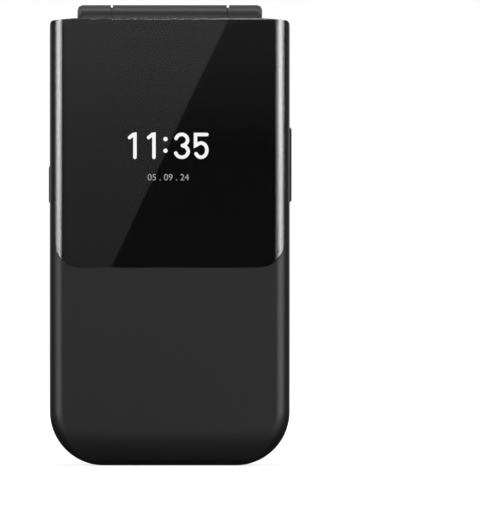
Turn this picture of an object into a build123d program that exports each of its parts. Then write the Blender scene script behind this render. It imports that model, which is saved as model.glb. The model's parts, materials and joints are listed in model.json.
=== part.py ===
from build123d import *
import math
import os

# A clamshell phone, folded shut and standing on its bottom edge, with the hinge on top.
# Millimetres. X runs across the phone, +Z up along it towards the hinge. The lid is on
# the -Y side and the rear cover on the +Y side. Z = 0 is the bottom edge of both halves.

# ---------------------------------------------------------------- driving dimensions
# both halves
body_width = 54.5
bottom_corner_r = 12.3
top_corner_r = 1.1
crown_run = 6.25            # the top edge falls over this length at each side
crown_drop = 0.6            # by this much
crown_blend_r = 20.0
lid_thickness = 6.2
base_thickness = 12.1
half_gap = 0.4              # air between the closed halves
fit_gap = 0.02              # between pieces that are pressed or screwed together
# hinge
hinge_top = 104.7
hinge_r = 4.2
trough_clearance = 0.3
barrel_half_length = 12.95
knuckle_gap = 0.5
knuckle_length = 6.05       # of each end knuckle, without its cap
hinge_cap_length = 1.5
hinge_cap_edge_r = 1.1
hinge_cap_edge_steps = 2
cap_spigot_r = 2.1
cap_spigot_length = 0.5
pivot_end_play = 0.6        # between a cap's spigot and the shaft or bush
lid_travel = 160.0          # degrees
stop_clearance = 0.4        # degrees kept between the halves at the stop, on each side
running_gap = 0.06
module_r = 3.0
module_inner_end = 1.0
module_shaft_r = 1.5
module_shaft_depth = 6.0
drive_head_r = 2.7
drive_head_flats = 3.8
bush_r = 2.5
bush_bore_r = 1.7
bush_reach = 8.0
collar_setback = 0.55       # of the pivots' collars, from the outside of the hinge bar
collar_thickness = 0.35
collar_sides = 24
flex_roll_wall = 0.25
flex_roll_play = 0.15
# lid
lid_front_depth = 3.75      # of the outer shell, the inner shell takes the rest
lid_edge_r = 3.3
lid_top_edge = 0.35         # bevel along the top of the front
lid_roll_start = 8.0        # height at which the lower front begins to roll under
lid_roll_r = 14.5
lid_roll_end_r = 3.0
shell_wall = 1.3
lid_bottom_wall = 2.2
lid_skin = 1.8              # of the outer shell, behind its front
module_clearance = 0.2      # round a display in its opening
glass_side_inset = 1.1
glass_bottom = 45.0
glass_corner_r = 6.2
glass_thickness = 1.2
glass_seam = 0.14
cover_display_inset = 10.25  # from the phone's side
cover_display_height = 42.0
cover_display_centre = 72.0
cover_display_depth = 1.45
main_display_margin = 1.0   # from the window's side
main_display_height = 66.0
main_display_depth = 1.9
main_display_centre = 51.0
window_inset = 2.75         # from the phone's side
window_height = 80.0
window_centre = 51.0
window_corner_r = 3.0
window_thickness = 0.9
window_clearance = 0.1
inner_skin = 0.6            # of the inner shell behind the window
earpiece_height = 6.6
earpiece_length = 10.0
earpiece_width = 4.0
ear_slot_length = 8.0
ear_slot_width = 1.2
ear_slot_clearance = 0.2
ear_snout_setback = 0.3
bumper_r = 1.6
bumper_clearance = 0.05
bumper_thickness = 0.6
bumper_stand = 0.3
screw_head_r = 1.3
screw_head_height = 0.6
screw_shank_r = 0.7
screw_shank_length = 2.4
screw_socket_r = 0.72
screw_boss_r = 1.9
screw_head_room = 3.0
lid_screw_inset, lid_screw_drop = 4.65, 8.4
lid_low_screw_inset, lid_low_screw_rise = 8.65, 5.4
base_low_screw_rise, base_top_screw_drop = 15.0, 9.3
battery_screw_gap = 0.25    # between the battery and the screws beside its top end
lid_board_thickness = 0.45
lid_board_inset = 2.0
flex_x, flex_width, flex_thickness = -8.0, 5.0, 0.15
magnet_size = 4.0
magnet_thickness = 1.2
magnet_x = 9.5
# base: the deck shell, the mid frame and the rear cover lie one behind the other
deck_shell_depth = 5.05
mid_frame_depth = 3.2
deck_edge = 0.9
deck_wall = 1.3
side_wall = 2.0
cover_inset = 0.9
cover_bottom_inset = 0.7
cover_side_roll = 8.9
cover_wall = 1.2
hollow_steps = 3
frame_edge = 0.35
cover_top_roll = 16.5
cover_top_drop = 3.3
cover_ease_r = 7.0          # where the top's roll meets a side's
cover_top_inset = 0.2
board_front = 2.75          # from the deck face to the main board
board_thickness = 0.9
board_inset = 2.75          # from the phone's side
board_bottom = 3.5
board_top = 93.5
frame_floor = 0.6
battery_inset = 6.25        # from the phone's side
battery_height = 52.0
battery_bottom = 7.5
battery_thickness = 4.2
battery_edge_r = 1.0
bay_bar_height = 3.0
bay_clearance = 0.4
bay_gap = 0.5               # between the pieces over the battery
tab_width = 10.0
tab_slant = 0.75
tab_depth = 1.4
# keypad: the keys lie side by side in windows of the deck
key_columns = 3
key_rows = 4
keypad_margin = 3.45        # from the phone's side to the outer keys
keypad_bottom = 20.2
key_height = 9.6
row_rib = 1.4               # of the deck, between two rows
keypad_break = 5.6          # of the deck, between the rows and the keys beside the ring
side_key_height = 9.85
key_gap = 0.3               # between keys in one window
key_corner = 1.0
key_clearance = 0.15
key_stand = 0.12            # how far a key stands out of the deck
key_flange = 0.3            # lip that keeps a key behind the deck
key_flange_thickness = 0.35
key_seat_gap = 0.05
key_travel = 0.35
key_chamfer = 0.25
plunger_half = 1.0
dome_r = 2.2
dome_height = 0.35
contact_gap = 0.05          # left between a pressed plunger and its dome
nav_r = 10.2
nav_margin = 1.6            # between the ring and the keys beside it
nav_bore_r = 4.7
nav_lip_r = 5.4
nav_clearance = 0.3
nav_flange = 0.8
nav_flange_gap = 0.34       # room for both tilts at once
nav_tilt = 1.2              # degrees
web_r = 6.4
web_width = 0.9
web_thickness = 0.12
select_r = 4.4
select_flange_r = 5.1
select_flange_gap = 0.2
mic_z = 8.6
mic_slot_length, mic_slot_width = 2.4, 0.8
mic_size, mic_thickness = 3.2, 1.1
# side keys
side_button_width = 1.8
side_button_stand = 0.5
side_button_clearance = 0.12
alert_low, alert_high = 59.6, 68.3
volume_low, volume_high = 59.9, 77.0
volume_flange_gap = 0.3     # room for the rocker to tilt
side_button_edge = 0.35
side_flange = 0.7
side_flange_thickness = 0.4
nub_inset = 2.55            # from the end of a side key to its nub
nub_half = 0.6
nub_height = 0.25
switch_length = 3.4
switch_width = 2.0
switch_depth = 1.6
switch_gap = 0.2
# rear and ends
camera_z = 93.7
camera_window_r = 3.9
camera_rim = 0.25
camera_window_thickness = 0.9
camera_trim_stand = 0.06
camera_body, camera_body_height = 7.6, 2.6
camera_barrel_r = 2.4
camera_bore_r, camera_bore_depth = 1.1, 0.6
camera_headroom = 1.1       # between the lens barrel and the window
flash_x, flash_z, flash_r = -9.0, 93.4, 1.75
flash_flange, flash_flange_thickness, flash_seat_gap = 0.7, 0.7, 0.1
rear_mic_x, rear_mic_z, rear_mic_r = -9.3, 87.9, 0.45
speaker_inset, speaker_z = 14.25, 92.4
speaker_length, speaker_width, speaker_depth = 13.0, 8.0, 3.0
grille_slots = 4
grille_slot_length = 6.5
grille_slot_width = 0.9
grille_pitch = 1.9
jack_z = 86.6
jack_y = 3.9
jack_bore_r = 1.8
jack_r = 2.6
jack_depth = 13.5
jack_end = 1.0
jack_recess = 0.25
jack_clearance = 0.05
jack_boss_r = 3.3
jack_boss_edge = 0.6
usb_width, usb_height, usb_depth = 7.5, 2.6, 5.6
usb_wall = 0.3
usb_tongue = 0.6
usb_setback = 0.4
usb_clearance = 0.1
motor_r, motor_depth = 4.0, 2.6
sim_width, sim_height, sim_depth = 16.0, 14.0, 1.3
sim_wall, sim_floor, sim_slot = 0.6, 0.3, 0.65
antenna_width, antenna_height, antenna_depth = 26.0, 4.0, 0.9
antenna_span = 12.0
contact_count, contact_pitch = 3, 2.6
contact_inset = 9.0         # from the pack's side
contact_width, contact_length, contact_height = 1.0, 2.5, 1.2
radio_can_width, radio_can_height = 18.0, 18.0
main_can_width, main_can_height, main_can_z = 32.0, 28.0, 44.0
can_clearance = 0.1
can_edge = 0.3

# ---------------------------------------------------------------- places that follow
total_depth = lid_thickness + half_gap + base_thickness
half_width = body_width / 2
cover_display_width = body_width - 2 * cover_display_inset
window_width = body_width - 2 * window_inset
main_display_width = window_width - 2 * main_display_margin
board_width = body_width - 2 * board_inset
battery_width = body_width - 2 * battery_inset
speaker_x = half_width - speaker_inset
lid_front_y = -total_depth / 2
lid_back_y = lid_front_y + lid_thickness
lid_part_y = lid_front_y + lid_front_depth
deck_y = lid_back_y + half_gap
base_part_y = deck_y + deck_shell_depth
cover_part_y = base_part_y + mid_frame_depth
rear_y = deck_y + base_thickness
cover_depth = rear_y - cover_part_y
hinge_y = lid_back_y + half_gap / 2
hinge_z = hinge_top - hinge_r
trough_r = hinge_r + trough_clearance
knuckle_start = barrel_half_length + knuckle_gap
cap_start = knuckle_start + knuckle_length
knuckle_end = cap_start + hinge_cap_length
pivot_end = cap_start - cap_spigot_length - pivot_end_play
lid_notch_end = knuckle_end + trough_clearance
stop_slope = math.tan(math.radians((180 - lid_travel) / 2 - stop_clearance))
body_top = hinge_z + stop_slope * (hinge_y - lid_front_y)
above = hinge_top + hinge_r  # height of blanks that are trimmed at the top
shell_top = hinge_z - trough_r - shell_wall
board_y = deck_y + board_front
board_back_y = board_y + board_thickness
dome_y = board_y - dome_height
key_front_y = deck_y - key_stand
key_flange_y = deck_y + deck_wall + key_seat_gap
key_back_y = key_flange_y + key_flange_thickness
plunger_y = dome_y - contact_gap - key_travel
floor_y = base_part_y + frame_floor
side_button_y = (floor_y + cover_part_y) / 2
cover_half_width = half_width - cover_inset
cover_corner_r = bottom_corner_r - cover_inset
jack_mouth = -half_width + jack_recess
jack_back = jack_mouth + jack_depth + jack_end
bay_top = battery_bottom + battery_height + bay_clearance + bay_bar_height
cover_top_z = body_top - cover_top_inset
roll_r = (cover_top_roll**2 + cover_top_drop**2) / (2 * cover_top_drop)
roll_start_z = cover_top_z - cover_top_roll
screw_side_x = half_width - side_wall - screw_boss_r + screw_boss_r / 6
screw_battery_x = battery_width / 2 + battery_screw_gap + bumper_r + bumper_clearance
keypad_half = half_width - keypad_margin
keypad_top = keypad_bottom + key_rows * key_height + (key_rows - 1) * row_rib
side_keys_low = keypad_top + keypad_break
side_keys_high = side_keys_low + 2 * side_key_height + key_gap
nav_z = (side_keys_low + side_keys_high) / 2


# ---------------------------------------------------------------- drawing helpers
def prism(front_view, y_from, y_to):
    """A front view (x across, z up) given depth from y_from back to y_to."""
    return extrude(Plane.XZ.offset(-y_to) * front_view, amount=y_to - y_from)


def side_bar(side_view, x_from, x_to):
    """A side view (y across, z up) run along X."""
    return extrude(Plane.YZ.offset(x_from) * side_view, amount=x_to - x_from)


def block(x, y, z):
    """A box between pairs of limits."""
    size = Box(x[1] - x[0], y[1] - y[0], z[1] - z[0])
    return Pos((x[0] + x[1]) / 2, (y[0] + y[1]) / 2, (z[0] + z[1]) / 2) * size


def rod_x(radius, x_from, x_to, y=hinge_y, z=hinge_z):
    rod = Cylinder(radius, x_to - x_from, rotation=(0, 90, 0))
    return Pos((x_from + x_to) / 2, y, z) * rod


def rod_y(radius, y_from, y_to, x, z):
    rod = Cylinder(radius, y_to - y_from, rotation=(90, 0, 0))
    return Pos(x, (y_from + y_to) / 2, z) * rod


def post(radius, y_from, y_to, x, z, sides=8):
    """A faceted rod along Y, for small pins and holes."""
    return prism(Pos(x, z) * RegularPolygon(radius, sides), y_from, y_to)


def between(x, z, grow=0.0):
    """Front view of a rectangle between pairs of limits."""
    size = Rectangle(x[1] - x[0] + 2 * grow, z[1] - z[0] + 2 * grow)
    return Pos((x[0] + x[1]) / 2, (z[0] + z[1]) / 2) * size


def tongue(width, corner_r, z_bottom, z_top):
    """Front view of a half: straight sides and top, round bottom corners."""
    plate = Pos(0, (z_bottom + z_top) / 2) * Rectangle(width, z_top - z_bottom)
    return fillet(plate.vertices().group_by(Axis.Y)[0], corner_r)


def rounded(width, height, corner_r, x=0.0, z=0.0):
    return Pos(x, z) * RectangleRounded(width, height, corner_r)


def crowned(half, top, corner_r):
    """Front view of everything below the crowned top edge, corner_r at its ends."""
    shoulder = top - crown_drop
    level = half - crown_run
    outline = Polygon(
        (-half, -1), (half, -1), (half, shoulder), (level, top),
        (-level, top), (-half, shoulder), align=None,
    )
    ends = [v for v in outline.vertices() if abs(v.Y - shoulder) < 0.01]
    outline = fillet(ends, corner_r)
    bends = [v for v in outline.vertices() if abs(v.Y - top) < 0.01]
    return fillet(bends, crown_blend_r)


def both_sides(solid):
    return [solid, mirror(solid, about=Plane.YZ)]


def fused(solids):
    whole = solids[0]
    for solid in solids[1:]:
        whole += solid
    return whole


def outer_edges(solid, y, top):
    """Edges of the face at depth y, without the one along the straight top."""
    rim = [e for e in solid.edges() if all(abs(v.Y - y) < 0.001 for v in e.vertices())]
    return [e for e in rim if (e @ 0.5).Z < top - 0.001]


def hinge_trough(x_from, x_to):
    return fused(both_sides(rod_x(trough_r, x_from, x_to)))


# ---------------------------------------------------------------- shared outlines
def lid_side_view():
    """Side view of the lid: rolled under at the bottom, sloped to the axis on top."""
    end_y = lid_front_y + lid_roll_r - math.sqrt(
        (lid_roll_r - lid_roll_end_r) ** 2 - (lid_roll_start - lid_roll_end_r) ** 2
    )
    centre = Vector(lid_front_y + lid_roll_r, lid_roll_start)
    small = Vector(end_y, lid_roll_end_r)
    touch = small + (small - centre).normalized() * lid_roll_end_r
    start = (lid_front_y, lid_roll_start)
    low = RadiusArc(start, (touch.X, touch.Y), -lid_roll_r)
    under = RadiusArc((touch.X, touch.Y), (end_y, 0), -lid_roll_end_r)
    rest = Polyline(
        (end_y, 0), (lid_back_y, 0), (lid_back_y, hinge_z), (hinge_y, hinge_z),
        (lid_front_y + lid_top_edge, body_top - stop_slope * lid_top_edge),
        (lid_front_y, body_top - lid_top_edge), start,
    )
    return make_face(Curve() + [low, under, rest])


def base_side_view():
    """Side view of the base's front part, with the same slope on top."""
    slope_end = 2 * hinge_y - lid_front_y
    return Polygon(
        (deck_y, 0), (rear_y, 0), (rear_y, body_top), (slope_end, body_top),
        (deck_y, hinge_z + stop_slope * (deck_y - hinge_y)), align=None,
    )


def lid_blank():
    """The lid's whole outer form, from the front face to the inner face."""
    slab = prism(tongue(body_width, bottom_corner_r, 0, above), lid_front_y, lid_back_y)
    slab = fillet(outer_edges(slab, lid_front_y, above), lid_edge_r)
    slab &= prism(crowned(half_width, body_top, top_corner_r), lid_front_y - 1, lid_back_y)
    return slab & side_bar(lid_side_view(), -half_width, half_width)


def base_blank():
    """The base's form without the rear cover's inset: full width from the deck back."""
    slab = prism(tongue(body_width, bottom_corner_r, 0, above), deck_y, rear_y)
    slab = chamfer(outer_edges(slab, deck_y, above), deck_edge)
    slab &= prism(crowned(half_width, body_top, top_corner_r), deck_y, rear_y)
    return slab & side_bar(base_side_view(), -half_width, half_width)


def cavity(wall, bottom, top, y_from, y_to):
    """A hollow with the body's outline, drawn in by a wall."""
    view = tongue(body_width - 2 * wall, bottom_corner_r - wall, bottom, top)
    return prism(view, y_from, y_to)


# ---------------------------------------------------------------- fastener places
def each_side(*places):
    return [(x * side, z) for x, z in places for side in (1, -1)]


lid_screws_at = each_side(
    (half_width - lid_screw_inset, body_top - lid_screw_drop),
    (half_width - lid_low_screw_inset, lid_low_screw_rise),
)
base_screws_at = each_side(
    (screw_side_x, base_low_screw_rise),
    (screw_battery_x, keypad_top + keypad_break / 2),
    (screw_side_x, body_top - base_top_screw_drop),
)
lid_screw_seat = lid_back_y + bumper_stand - bumper_thickness - screw_head_height - fit_gap


def screw(x, z, seat_y, towards):
    """Head on seat_y, shank running on towards -1 (front) or +1 (rear)."""
    head_y = sorted((seat_y, seat_y - towards * screw_head_height))
    shank_y = sorted((seat_y, seat_y + towards * screw_shank_length))
    body = post(screw_head_r, *head_y, x, z) + post(screw_shank_r, *shank_y, x, z)
    socket_y = sorted((seat_y - towards * screw_head_height / 2, seat_y - towards * screw_head_height))
    return body - post(screw_socket_r, *socket_y, x, z, sides=6)


def screw_holes(places, seat_y, towards, head_sides=8):
    """Shank hole and head counterbore for each screw."""
    cuts = []
    for x, z in places:
        shank = sorted((seat_y, seat_y + towards * (screw_shank_length + screw_shank_r / 2)))
        head = sorted((seat_y, seat_y - towards * screw_head_room))
        cuts.append(post(screw_shank_r + fit_gap, *shank, x, z))
        cuts.append(post(bumper_r + bumper_clearance, *head, x, z, sides=head_sides))
    return fused(cuts)


# ---------------------------------------------------------------- lid
def glass_outline(grow=0.0):
    side = body_width - 2 * glass_side_inset + 2 * grow
    return tongue(side, glass_corner_r + grow, glass_bottom - grow, above)


def lid_front_case():
    case = lid_blank() & block((-half_width, half_width), (lid_front_y, lid_part_y), (0, above))
    case -= cavity(shell_wall, lid_bottom_wall, shell_top, lid_front_y + lid_skin, lid_part_y)
    bosses = [post(screw_boss_r, lid_front_y + lid_skin, lid_part_y, x, z) for x, z in lid_screws_at]
    case += fused(bosses) & lid_blank()
    case -= prism(glass_outline(glass_seam), lid_front_y - 1, lid_front_y + glass_thickness)
    case -= prism(cover_display_view(module_clearance), lid_front_y, lid_part_y)
    case -= rod_x(trough_r, -lid_notch_end, lid_notch_end)
    return case - screw_holes(lid_screws_at, lid_screw_seat, -1, head_sides=16)


def cover_glass():
    pane = lid_blank() & prism(glass_outline(), lid_front_y - 1, lid_front_y + glass_thickness)
    return pane - rod_x(trough_r, -lid_notch_end, lid_notch_end)


def cover_display_view(grow=0.0):
    size = Rectangle(cover_display_width + 2 * grow, cover_display_height + 2 * grow)
    return Pos(0, cover_display_centre) * size


def cover_display():
    front = lid_front_y + glass_thickness + fit_gap
    module = prism(cover_display_view(), front, front + cover_display_depth)
    return chamfer(module.edges().filter_by(Axis.Y), 2 * module_clearance)


def main_display_view(grow=0.0):
    size = Rectangle(main_display_width + 2 * grow, main_display_height + 2 * grow)
    return Pos(0, main_display_centre) * size


def window_view(grow=0.0):
    size = (window_width + 2 * grow, window_height + 2 * grow)
    return rounded(*size, window_corner_r + grow, 0, window_centre)


def lid_inner_case():
    case = lid_blank() & block((-half_width, half_width), (lid_part_y, lid_back_y), (0, above))
    inner_face = lid_back_y - window_thickness - inner_skin
    case -= cavity(shell_wall, lid_bottom_wall, shell_top, lid_part_y, inner_face)
    bosses = [post(screw_boss_r, lid_part_y, lid_back_y, x, z) for x, z in lid_screws_at]
    case += fused(bosses) & lid_blank()
    case -= prism(window_view(window_clearance), lid_back_y - window_thickness, lid_back_y + 1)
    case -= prism(main_display_view(module_clearance), lid_part_y, lid_back_y)
    ear_slot = Pos(0, earpiece_height) * SlotOverall(ear_slot_length, ear_slot_width)
    case -= prism(ear_slot, lid_part_y, lid_back_y)
    case -= hinge_trough(barrel_half_length, lid_notch_end)
    case -= screw_holes(lid_screws_at, lid_screw_seat, -1, head_sides=16)
    case += rod_x(hinge_r, -barrel_half_length, barrel_half_length)
    case -= rod_x(module_r + fit_gap, module_inner_end, barrel_half_length + 1)
    bush_end = -barrel_half_length + bush_reach
    return case - rod_x(bush_r + running_gap, -barrel_half_length - 1, bush_end + pivot_end_play)


def main_display():
    back = lid_back_y - window_thickness - fit_gap
    module = prism(main_display_view(), back - main_display_depth, back)
    return chamfer(module.edges().filter_by(Axis.Y), 2 * module_clearance)


def display_window():
    return prism(window_view(), lid_back_y - window_thickness, lid_back_y)


def earpiece():
    front = lid_part_y - inner_skin
    back = lid_back_y - window_thickness - inner_skin - fit_gap
    capsule = prism(Pos(0, earpiece_height) * Rectangle(earpiece_length, earpiece_width), front, back)
    capsule = chamfer(capsule.edges().filter_by(Axis.Y), ear_slot_width / 2)
    snout = SlotOverall(ear_slot_length - 2 * ear_slot_clearance, ear_slot_width - 2 * ear_slot_clearance)
    return capsule + prism(Pos(0, earpiece_height) * snout, back, lid_back_y - ear_snout_setback)


lid_board_y = lid_front_y + glass_thickness + cover_display_depth + 2 * fit_gap


def lid_board():
    return prism(cover_display_view(-lid_board_inset), lid_board_y, lid_board_y + lid_board_thickness)


def display_flex():
    """Ribbon from the lid's board up towards the hollow end of the hinge."""
    board_top_z = cover_display_centre + cover_display_height / 2 - lid_board_inset
    x = (flex_x - flex_width / 2, flex_x + flex_width / 2)
    return block(x, (lid_board_y, lid_board_y + flex_thickness), (board_top_z, shell_top - fit_gap))


def lid_magnet():
    x = (magnet_x, magnet_x + magnet_size)
    y = (lid_part_y - magnet_thickness, lid_part_y - fit_gap)
    return block(x, y, (lid_bottom_wall, lid_bottom_wall + magnet_size))


def lid_screws():
    return [screw(x, z, lid_screw_seat, -1) for x, z in lid_screws_at]


def lid_bumpers():
    pads = []
    front = lid_back_y + bumper_stand - bumper_thickness
    for x, z in lid_screws_at:
        pads.append(post(bumper_r, front, lid_back_y + bumper_stand, x, z, sides=16))
    return pads


# ---------------------------------------------------------------- hinge
def hinge_module():
    """Click-hinge can, pressed into the barrel, with a mouth for the drive shaft."""
    can = rod_x(module_r, module_inner_end + fit_gap, barrel_half_length)
    mouth = rod_x(module_shaft_r + running_gap, barrel_half_length - module_shaft_depth, knuckle_start)
    return can - mouth


def drive_head_view(grow=0.0):
    flats = Rectangle(2 * (drive_head_r + grow), drive_head_flats + 2 * grow)
    return Pos(hinge_y, hinge_z) * (Circle(drive_head_r + grow) & flats)


def pivot_collar():
    """Collar that fills the gap between the barrel and a knuckle."""
    disc = Pos(hinge_y, hinge_z) * RegularPolygon(hinge_r - collar_setback, collar_sides)
    return side_bar(disc, knuckle_start - collar_thickness, knuckle_start - fit_gap)


def hinge_shaft():
    """Drive shaft: turns in the can, its flatted head is held by the base's knuckle."""
    start = knuckle_start - knuckle_gap / 2
    shaft = rod_x(module_shaft_r, barrel_half_length - module_shaft_depth + pivot_end_play, start)
    return shaft + side_bar(drive_head_view(), start, pivot_end) + pivot_collar()


def hinge_bush():
    """Hollow pivot that the barrel turns on, and that the ribbon cable passes through."""
    ends = (-pivot_end, -barrel_half_length + bush_reach)
    return rod_x(bush_r, *ends) + mirror(pivot_collar(), about=Plane.YZ) - rod_x(bush_bore_r, *ends)


def hinge_flex():
    """Ribbon cable rolled up inside the bush."""
    ends = (-pivot_end + knuckle_gap, -barrel_half_length + bush_reach - knuckle_gap)
    roll_r = bush_bore_r - flex_roll_play
    roll = RegularPolygon(roll_r, 12) - RegularPolygon(roll_r - flex_roll_wall, 12)
    return side_bar(Pos(hinge_y, hinge_z) * roll, *ends)


def spigot_view(grow=0.0):
    return Pos(hinge_y, hinge_z) * RegularPolygon(cap_spigot_r + grow, 8)


def hinge_caps():
    """Turned caps on the outer ends, with a rounded edge and a spigot."""
    edge = []
    for step in range(hinge_cap_edge_steps + 1):
        angle = math.pi / 2 * step / hinge_cap_edge_steps
        edge.append((knuckle_end - hinge_cap_edge_r * (1 - math.cos(angle)),
                     hinge_r - hinge_cap_edge_r * (1 - math.sin(angle))))
    outline = [(cap_start, 0), (cap_start, hinge_r), *reversed(edge), (knuckle_end, 0)]
    half_section = Pos(0, hinge_y, hinge_z) * Polygon(*outline, align=None)
    cap = revolve(half_section, axis=Axis((0, hinge_y, hinge_z), (1, 0, 0)))
    return both_sides(cap + side_bar(spigot_view(), cap_start - cap_spigot_length, cap_start))


# ---------------------------------------------------------------- keypad layout
def shared(limits, count):
    """Limits of the keys that share a length of window."""
    low, high = limits
    size = (high - low - (count - 1) * key_gap) / count
    starts = [low + n * (size + key_gap) for n in range(count)]
    return [(start, start + size) for start in starts]


def key_windows():
    """Each window of the deck as x limits, z limits and the names of its keys, row by row."""
    rows = [[f"key_{first + n}" for n in range(key_columns)] for first in (1, 4, 7)]
    rows.append(["key_star", "key_0", "key_hash"])
    windows = []
    for n, names in enumerate(rows):
        top = keypad_top - n * (key_height + row_rib)
        windows.append(((-keypad_half, keypad_half), (top - key_height, top), [names]))
    z = (side_keys_low, side_keys_high)
    inner = nav_r + nav_margin
    windows.append(((-keypad_half, -inner), z, [["call_key"], ["soft_key_left"]]))
    windows.append(((inner, keypad_half), z, [["end_key"], ["soft_key_right"]]))
    return windows


def key_cells():
    """Each key's own limits and those of its window."""
    cells = {}
    for window_x, window_z, rows in key_windows():
        for z, names in zip(shared(window_z, len(rows)), rows):
            for x, name in zip(shared(window_x, len(names)), names):
                cells[name] = (x, z, window_x, window_z)
    return cells


def window_opening(x, z, grow=0.0):
    return chamfer(between(x, z, grow).vertices(), key_corner)


def lip_limits(cell, window):
    """A key's lip is wider than the key only where the deck can hold it."""
    low_lip, high_lip = [key_flange * math.isclose(*ends) for ends in zip(cell, window)]
    return (cell[0] - low_lip, cell[1] + high_lip)


def square_plunger(x, z, front, back):
    return block((x - plunger_half, x + plunger_half), (front, back), (z - plunger_half, z + plunger_half))


def key_cap(x, z, window_x, window_z):
    cap = prism(between(x, z) & window_opening(window_x, window_z), key_front_y, key_flange_y)
    cap = chamfer(cap.faces().sort_by(Axis.Y)[0].edges(), key_chamfer)
    lip = between(lip_limits(x, window_x), lip_limits(z, window_z))
    cap += prism(lip, key_flange_y, key_back_y)
    return cap + square_plunger(sum(x) / 2, sum(z) / 2, key_back_y, plunger_y)


def nav_dome_places():
    radius = (nav_r + nav_lip_r) / 2
    quarters = [math.pi / 2 * n for n in range(4)]
    return [(radius * math.cos(a), nav_z + radius * math.sin(a)) for a in quarters]


def keypad_domes():
    """Snap domes standing on the board, one behind each plunger."""
    dome = post(dome_r, dome_y, board_y, 0, 0)
    under_keys = [(sum(x) / 2, sum(z) / 2) for x, z, _, _ in key_cells().values()]
    return [Pos(x, 0, z) * dome for x, z in under_keys + nav_dome_places() + [(0, nav_z)]]


def nav_ring():
    front = deck_y + key_seat_gap
    flange_y = deck_y + deck_wall + nav_flange_gap
    back_y = flange_y + key_flange_thickness
    ring = rod_y(nav_r, front, flange_y, 0, nav_z)
    ring = chamfer(ring.faces().sort_by(Axis.Y)[0].edges(), key_chamfer)
    ring += post(nav_r + nav_flange, flange_y, back_y, 0, nav_z, sides=16)
    tilted = math.tan(math.radians(nav_tilt)) * (nav_r + plunger_half)
    for x, z in nav_dome_places():
        ring += square_plunger(x, z, back_y, dome_y - contact_gap - tilted)
    ring -= rod_y(nav_bore_r, front - 1, plunger_y, 0, nav_z)
    return ring - post(nav_lip_r, deck_y + deck_wall, plunger_y, 0, nav_z, sides=16)


def nav_web():
    """Narrow silicone gimbal ring between the ring and the board."""
    middle = (plunger_y + dome_y) / 2
    ends = (middle - web_thickness / 2, middle + web_thickness / 2)
    return post(web_r, *ends, 0, nav_z, sides=16) - post(web_r - web_width, *ends, 0, nav_z, sides=16)


def select_key():
    flange_y = deck_y + deck_wall + select_flange_gap
    cap = rod_y(select_r, key_front_y, flange_y, 0, nav_z)
    cap = chamfer(cap.faces().sort_by(Axis.Y)[0].edges(), key_chamfer)
    cap += post(select_flange_r, flange_y, flange_y + key_flange_thickness, 0, nav_z, sides=16)
    return cap + square_plunger(0, nav_z, flange_y + key_flange_thickness, plunger_y)


# ---------------------------------------------------------------- side keys
def side_key_view(low, high, grow=0.0):
    """Side view of a side key."""
    length = high - low + 2 * grow
    width = side_button_width + 2 * grow
    return Pos(side_button_y, (low + high) / 2) * SlotOverall(length, width, rotation=90)


def side_button(low, high, seat_gap, nub_places):
    """A key in the right-hand wall: outer cap, inner lip and nubs that reach the switch."""
    outer = half_width + side_button_stand
    inner = half_width - side_wall - seat_gap
    half = side_button_width / 2
    y = (side_button_y - half, side_button_y + half)
    cap = side_bar(side_key_view(low, high), inner, outer)
    cap = chamfer(cap.faces().sort_by(Axis.X)[-1].edges(), side_button_edge)
    cap += block((inner - side_flange_thickness, inner), y, (low - side_flange, high + side_flange))
    nub_x = (inner - side_flange_thickness - nub_height, inner)
    nub_y = (side_button_y - nub_half, side_button_y + nub_half)
    for z in nub_places:
        cap += block(nub_x, nub_y, (z - nub_half, z + nub_half))
    return cap


alert_nub = alert_low + nub_inset
volume_nubs = [volume_low + nub_inset, volume_high - nub_inset]


def alert_key():
    return mirror(side_button(alert_low, alert_high, key_seat_gap, [alert_nub]), about=Plane.YZ)


def volume_rocker():
    return side_button(volume_low, volume_high, volume_flange_gap, volume_nubs)


def side_switch(z, seat_gap, travel):
    """Tact switch standing on the frame's floor, its face towards the wall."""
    face_x = half_width - side_wall - seat_gap - side_flange_thickness - nub_height - travel
    ends = (z - switch_length / 2, z + switch_length / 2)
    return block((face_x - switch_depth, face_x), (floor_y, floor_y + switch_width), ends)


def side_switches():
    alert = mirror(side_switch(alert_nub, key_seat_gap, key_travel + contact_gap), about=Plane.YZ)
    return [alert] + [side_switch(z, volume_flange_gap, switch_gap) for z in volume_nubs]


def side_key_holes():
    right = side_bar(
        side_key_view(volume_low, volume_high, side_button_clearance),
        half_width - side_wall - 1, half_width + 1,
    )
    left = side_bar(
        side_key_view(alert_low, alert_high, side_button_clearance),
        -half_width - 1, -half_width + side_wall + 1,
    )
    return right + left


# ---------------------------------------------------------------- base
def jack_hole():
    return rod_x(jack_r + jack_clearance, -half_width - 1, jack_back + jack_clearance, jack_y, jack_z)


def usb_opening():
    half = usb_width / 2 + usb_clearance
    y = (board_back_y - usb_clearance, board_back_y + usb_height + usb_clearance)
    return block((-half, half), y, (-1, board_bottom + usb_depth))


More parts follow.
